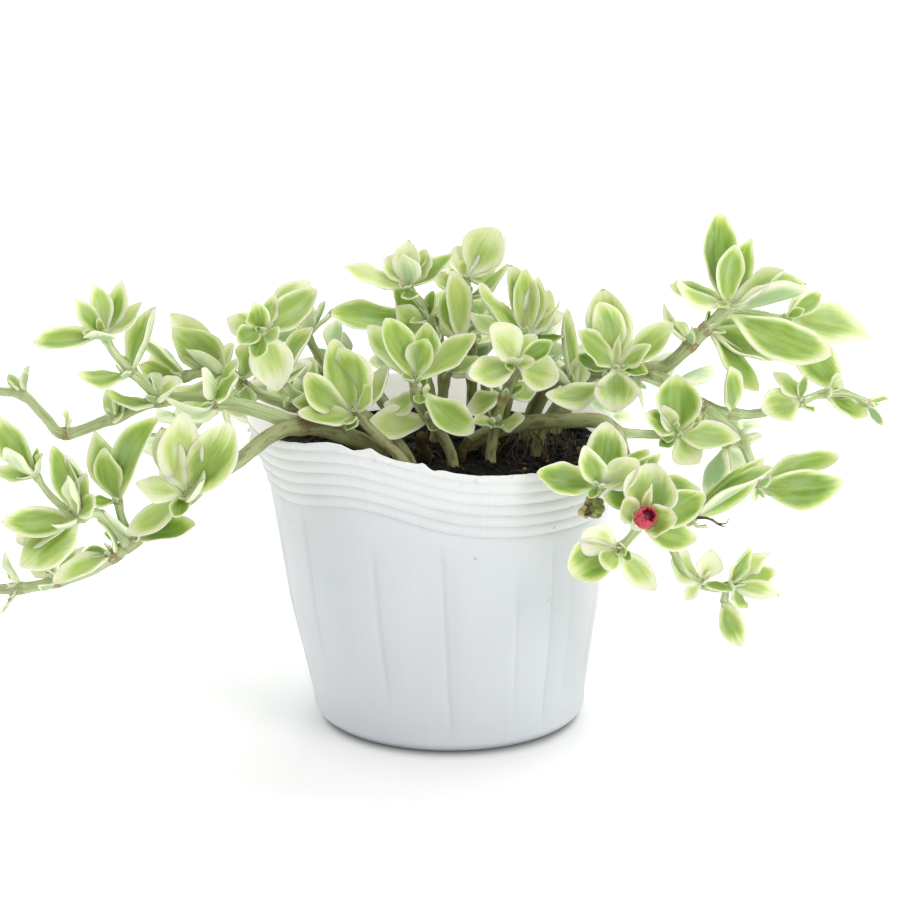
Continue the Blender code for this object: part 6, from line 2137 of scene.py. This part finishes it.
@dataclass(frozen=True)
class Studio:
    """The pale floor, the soft light and the photograph's camera."""

    pitch: float = math.radians(16.5)
    target_height: float = 0.0865
    distance: float = 1.013
    sensor: float = 36.0
    lens: float = 127.04
    floor_radius: float = 6.0
    sky: float = 0.5            # the world's light
    backdrop: float = 1.1       # the world as the camera sees it
    glow: Pair = (0.3, 0.9)     # of the floor, near the pot and far off
    foot: float = 0.0405        # radius at which the shade round the pot's foot starts
    shade_width: Pair = (0.006, 0.03)    # at the pot's sides, and before and behind it
    shade: tuple[Pair, ...] = ((0.0, 0.2), (0.07, 0.3), (0.14, 0.52), (0.21, 0.76), (0.3, 0.88),
                               (0.6, 0.95), (1.0, 1.0))     # share of the way out, share of the light
    lamps: tuple[tuple[str, Point, float, float, Colour], ...] = (
        ("over_lamp", (0.15, 0.5, 1.1), 0.8, 7.4, (1.0, 1.0, 1.0)),
        ("key_lamp", (0.75, -0.75, 0.9), 0.6, 4.6, (1.0, 0.99, 0.97)),
        ("low_lamp", (0.9, -0.55, 0.35), 0.6, 1.1, (1.0, 1.0, 1.0)),
        ("side_lamp", (-0.9, -0.3, 0.6), 0.6, 1.2, (1.0, 1.0, 1.0)))    # name, place, side, power, colour
    lit: Point = (0.0, 0.0, 0.08)       # what the lamps look at

    def camera(self) -> None:
        """Stand the camera where the photograph was taken from."""
        data = bpy.data.cameras.new("camera")
        data.sensor_width = self.sensor
        data.lens = self.lens
        camera = bpy.data.objects.new("camera", data)
        camera.location = (0.0, -self.distance * math.cos(self.pitch),
                           self.target_height + self.distance * math.sin(self.pitch))
        camera.rotation_euler = (math.pi / 2 - self.pitch, 0.0, 0.0)
        bpy.context.scene.collection.objects.link(camera)
        bpy.context.scene.camera = camera

    def floor(self) -> None:
        """Lay the white floor, which glows a little, as a light table does."""
        shape = bmesh.new()
        bmesh.ops.create_circle(shape, cap_ends=True, segments=96, radius=self.floor_radius)
        mesh = mesh_of("floor", shape)
        paint = Paint("floor_white")
        paint.set(Roughness=0.85, Specular_IOR_Level=0.1, Emission_Color=(1.0, 1.0, 1.0, 1.0))
        away = paint.tree.nodes.new("ShaderNodeVectorMath")
        away.operation = "LENGTH"
        paint.join(away.inputs[0], paint.place())
        parts = paint.tree.nodes.new("ShaderNodeSeparateXYZ")
        paint.join(parts.inputs[0], paint.place())
        deep = paint.sum("DIVIDE", paint.sum("ABSOLUTE", parts.outputs["Y"]), away.outputs["Value"])
        near = paint.sum("DIVIDE", paint.sum("SUBTRACT", away.outputs["Value"], self.foot),
                         paint.rise(deep, 0.0, 1.0, *self.shade_width))
        shade = paint.steps(near, *((place, (light, light, light)) for place, light in self.shade))
        glow = paint.rise(away.outputs["Value"], 0.05, 0.7, *self.glow)
        paint.feed("Emission Strength", paint.sum("MULTIPLY", glow, shade))
        paint.feed("Base Color", paint.mix(shade, (0.0, 0.0, 0.0), (0.84, 0.84, 0.84)))
        mesh.materials.append(paint.material)
        floor = bpy.data.objects.new("floor", mesh)
        bpy.context.scene.collection.objects.link(floor)
        floor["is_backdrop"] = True

    def lamp(self, name: str, at: Point, size: float, power: float, colour: Colour) -> None:
        """Hang one soft square lamp that looks at the plant.

        Args:
            name: its name.
            at: where it hangs, in metres.
            size: its side.
            power: in watts.
            colour: of its light.
        """
        data = bpy.data.lights.new(name, "AREA")
        data.size = size
        data.energy = power
        data.color = colour
        lamp = bpy.data.objects.new(name, data)
        lamp.location = at
        lamp.rotation_euler = (Vector(self.lit) - Vector(at)).to_track_quat("-Z", "Y").to_euler()
        bpy.context.scene.collection.objects.link(lamp)

    def light(self) -> None:
        """Light the plant from a white sky and soft lamps."""
        world = bpy.data.worlds.new("white_sky")
        world.use_nodes = True
        nodes = world.node_tree.nodes
        nodes["Background"].inputs["Color"].default_value = (1.0, 1.0, 1.0, 1.0)
        seen = nodes.new("ShaderNodeMapRange")
        seen.inputs["To Min"].default_value = self.sky
        seen.inputs["To Max"].default_value = self.backdrop
        links = world.node_tree.links
        links.new(nodes.new("ShaderNodeLightPath").outputs["Is Camera Ray"], seen.inputs["Value"])
        links.new(seen.outputs["Result"], nodes["Background"].inputs["Strength"])
        bpy.context.scene.world = world
        for lamp in self.lamps:
            self.lamp(*lamp)
        bpy.context.scene.view_settings.view_transform = "Standard"


def build_object() -> None:
    """Build the pot, the soil, every shoot and the bud, and report each piece."""
    pot = Pot()
    pot.piece(PotFinish().material())
    soil = Soil(pot)
    earth, bark, grain, root = (finish.material() for finish in (POTTING_SOIL, BARK, GRAIN, ROOT))
    soil.body(earth)
    for kind, finish in ((Bit.CRUMB, earth), (Bit.SLIVER, bark), (Bit.GRAIN, grain)):
        soil.bits(kind, finish)
    soil.root_piece(root)
    soil.stub_piece(OLD_STUB.material())
    leaf, stem = LeafFinish().material(), StemFinish().material()
    foliage = Foliage()
    for shoot in SHOOTS:
        leafy = LeafyStem(shoot, foliage)
        leafy.stem_piece(stem)
        leafy.leaf_piece(leaf)
    bud = Bud()
    bud.petal_piece(PetalFinish().material())
    bud.cup_piece(leaf)
    old = OldBits()
    old.lump_piece("seed_capsule", old.lobes, OLD_CAPSULE.material())
    old.lump_piece("capsule_knobs", old.knobs, DRY_KNOB.material())
    old.husk_piece(DRY_HUSK.material())


def write_size() -> None:
    """Work out the box of the solids and that of the dressed object."""
    boxes = {name: [list(corner) for corner in box]
             for name, box in (("cad", SOLID_BOX), ("visual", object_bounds()))}


def main() -> None:
    """Set up the studio and build the object in it."""
    logging.basicConfig(level=logging.INFO, format="%(message)s")
    studio = Studio()
    studio.camera()
    studio.floor()
    studio.light()
    build_object()
    write_size()


if __name__ == "__main__":
    main()
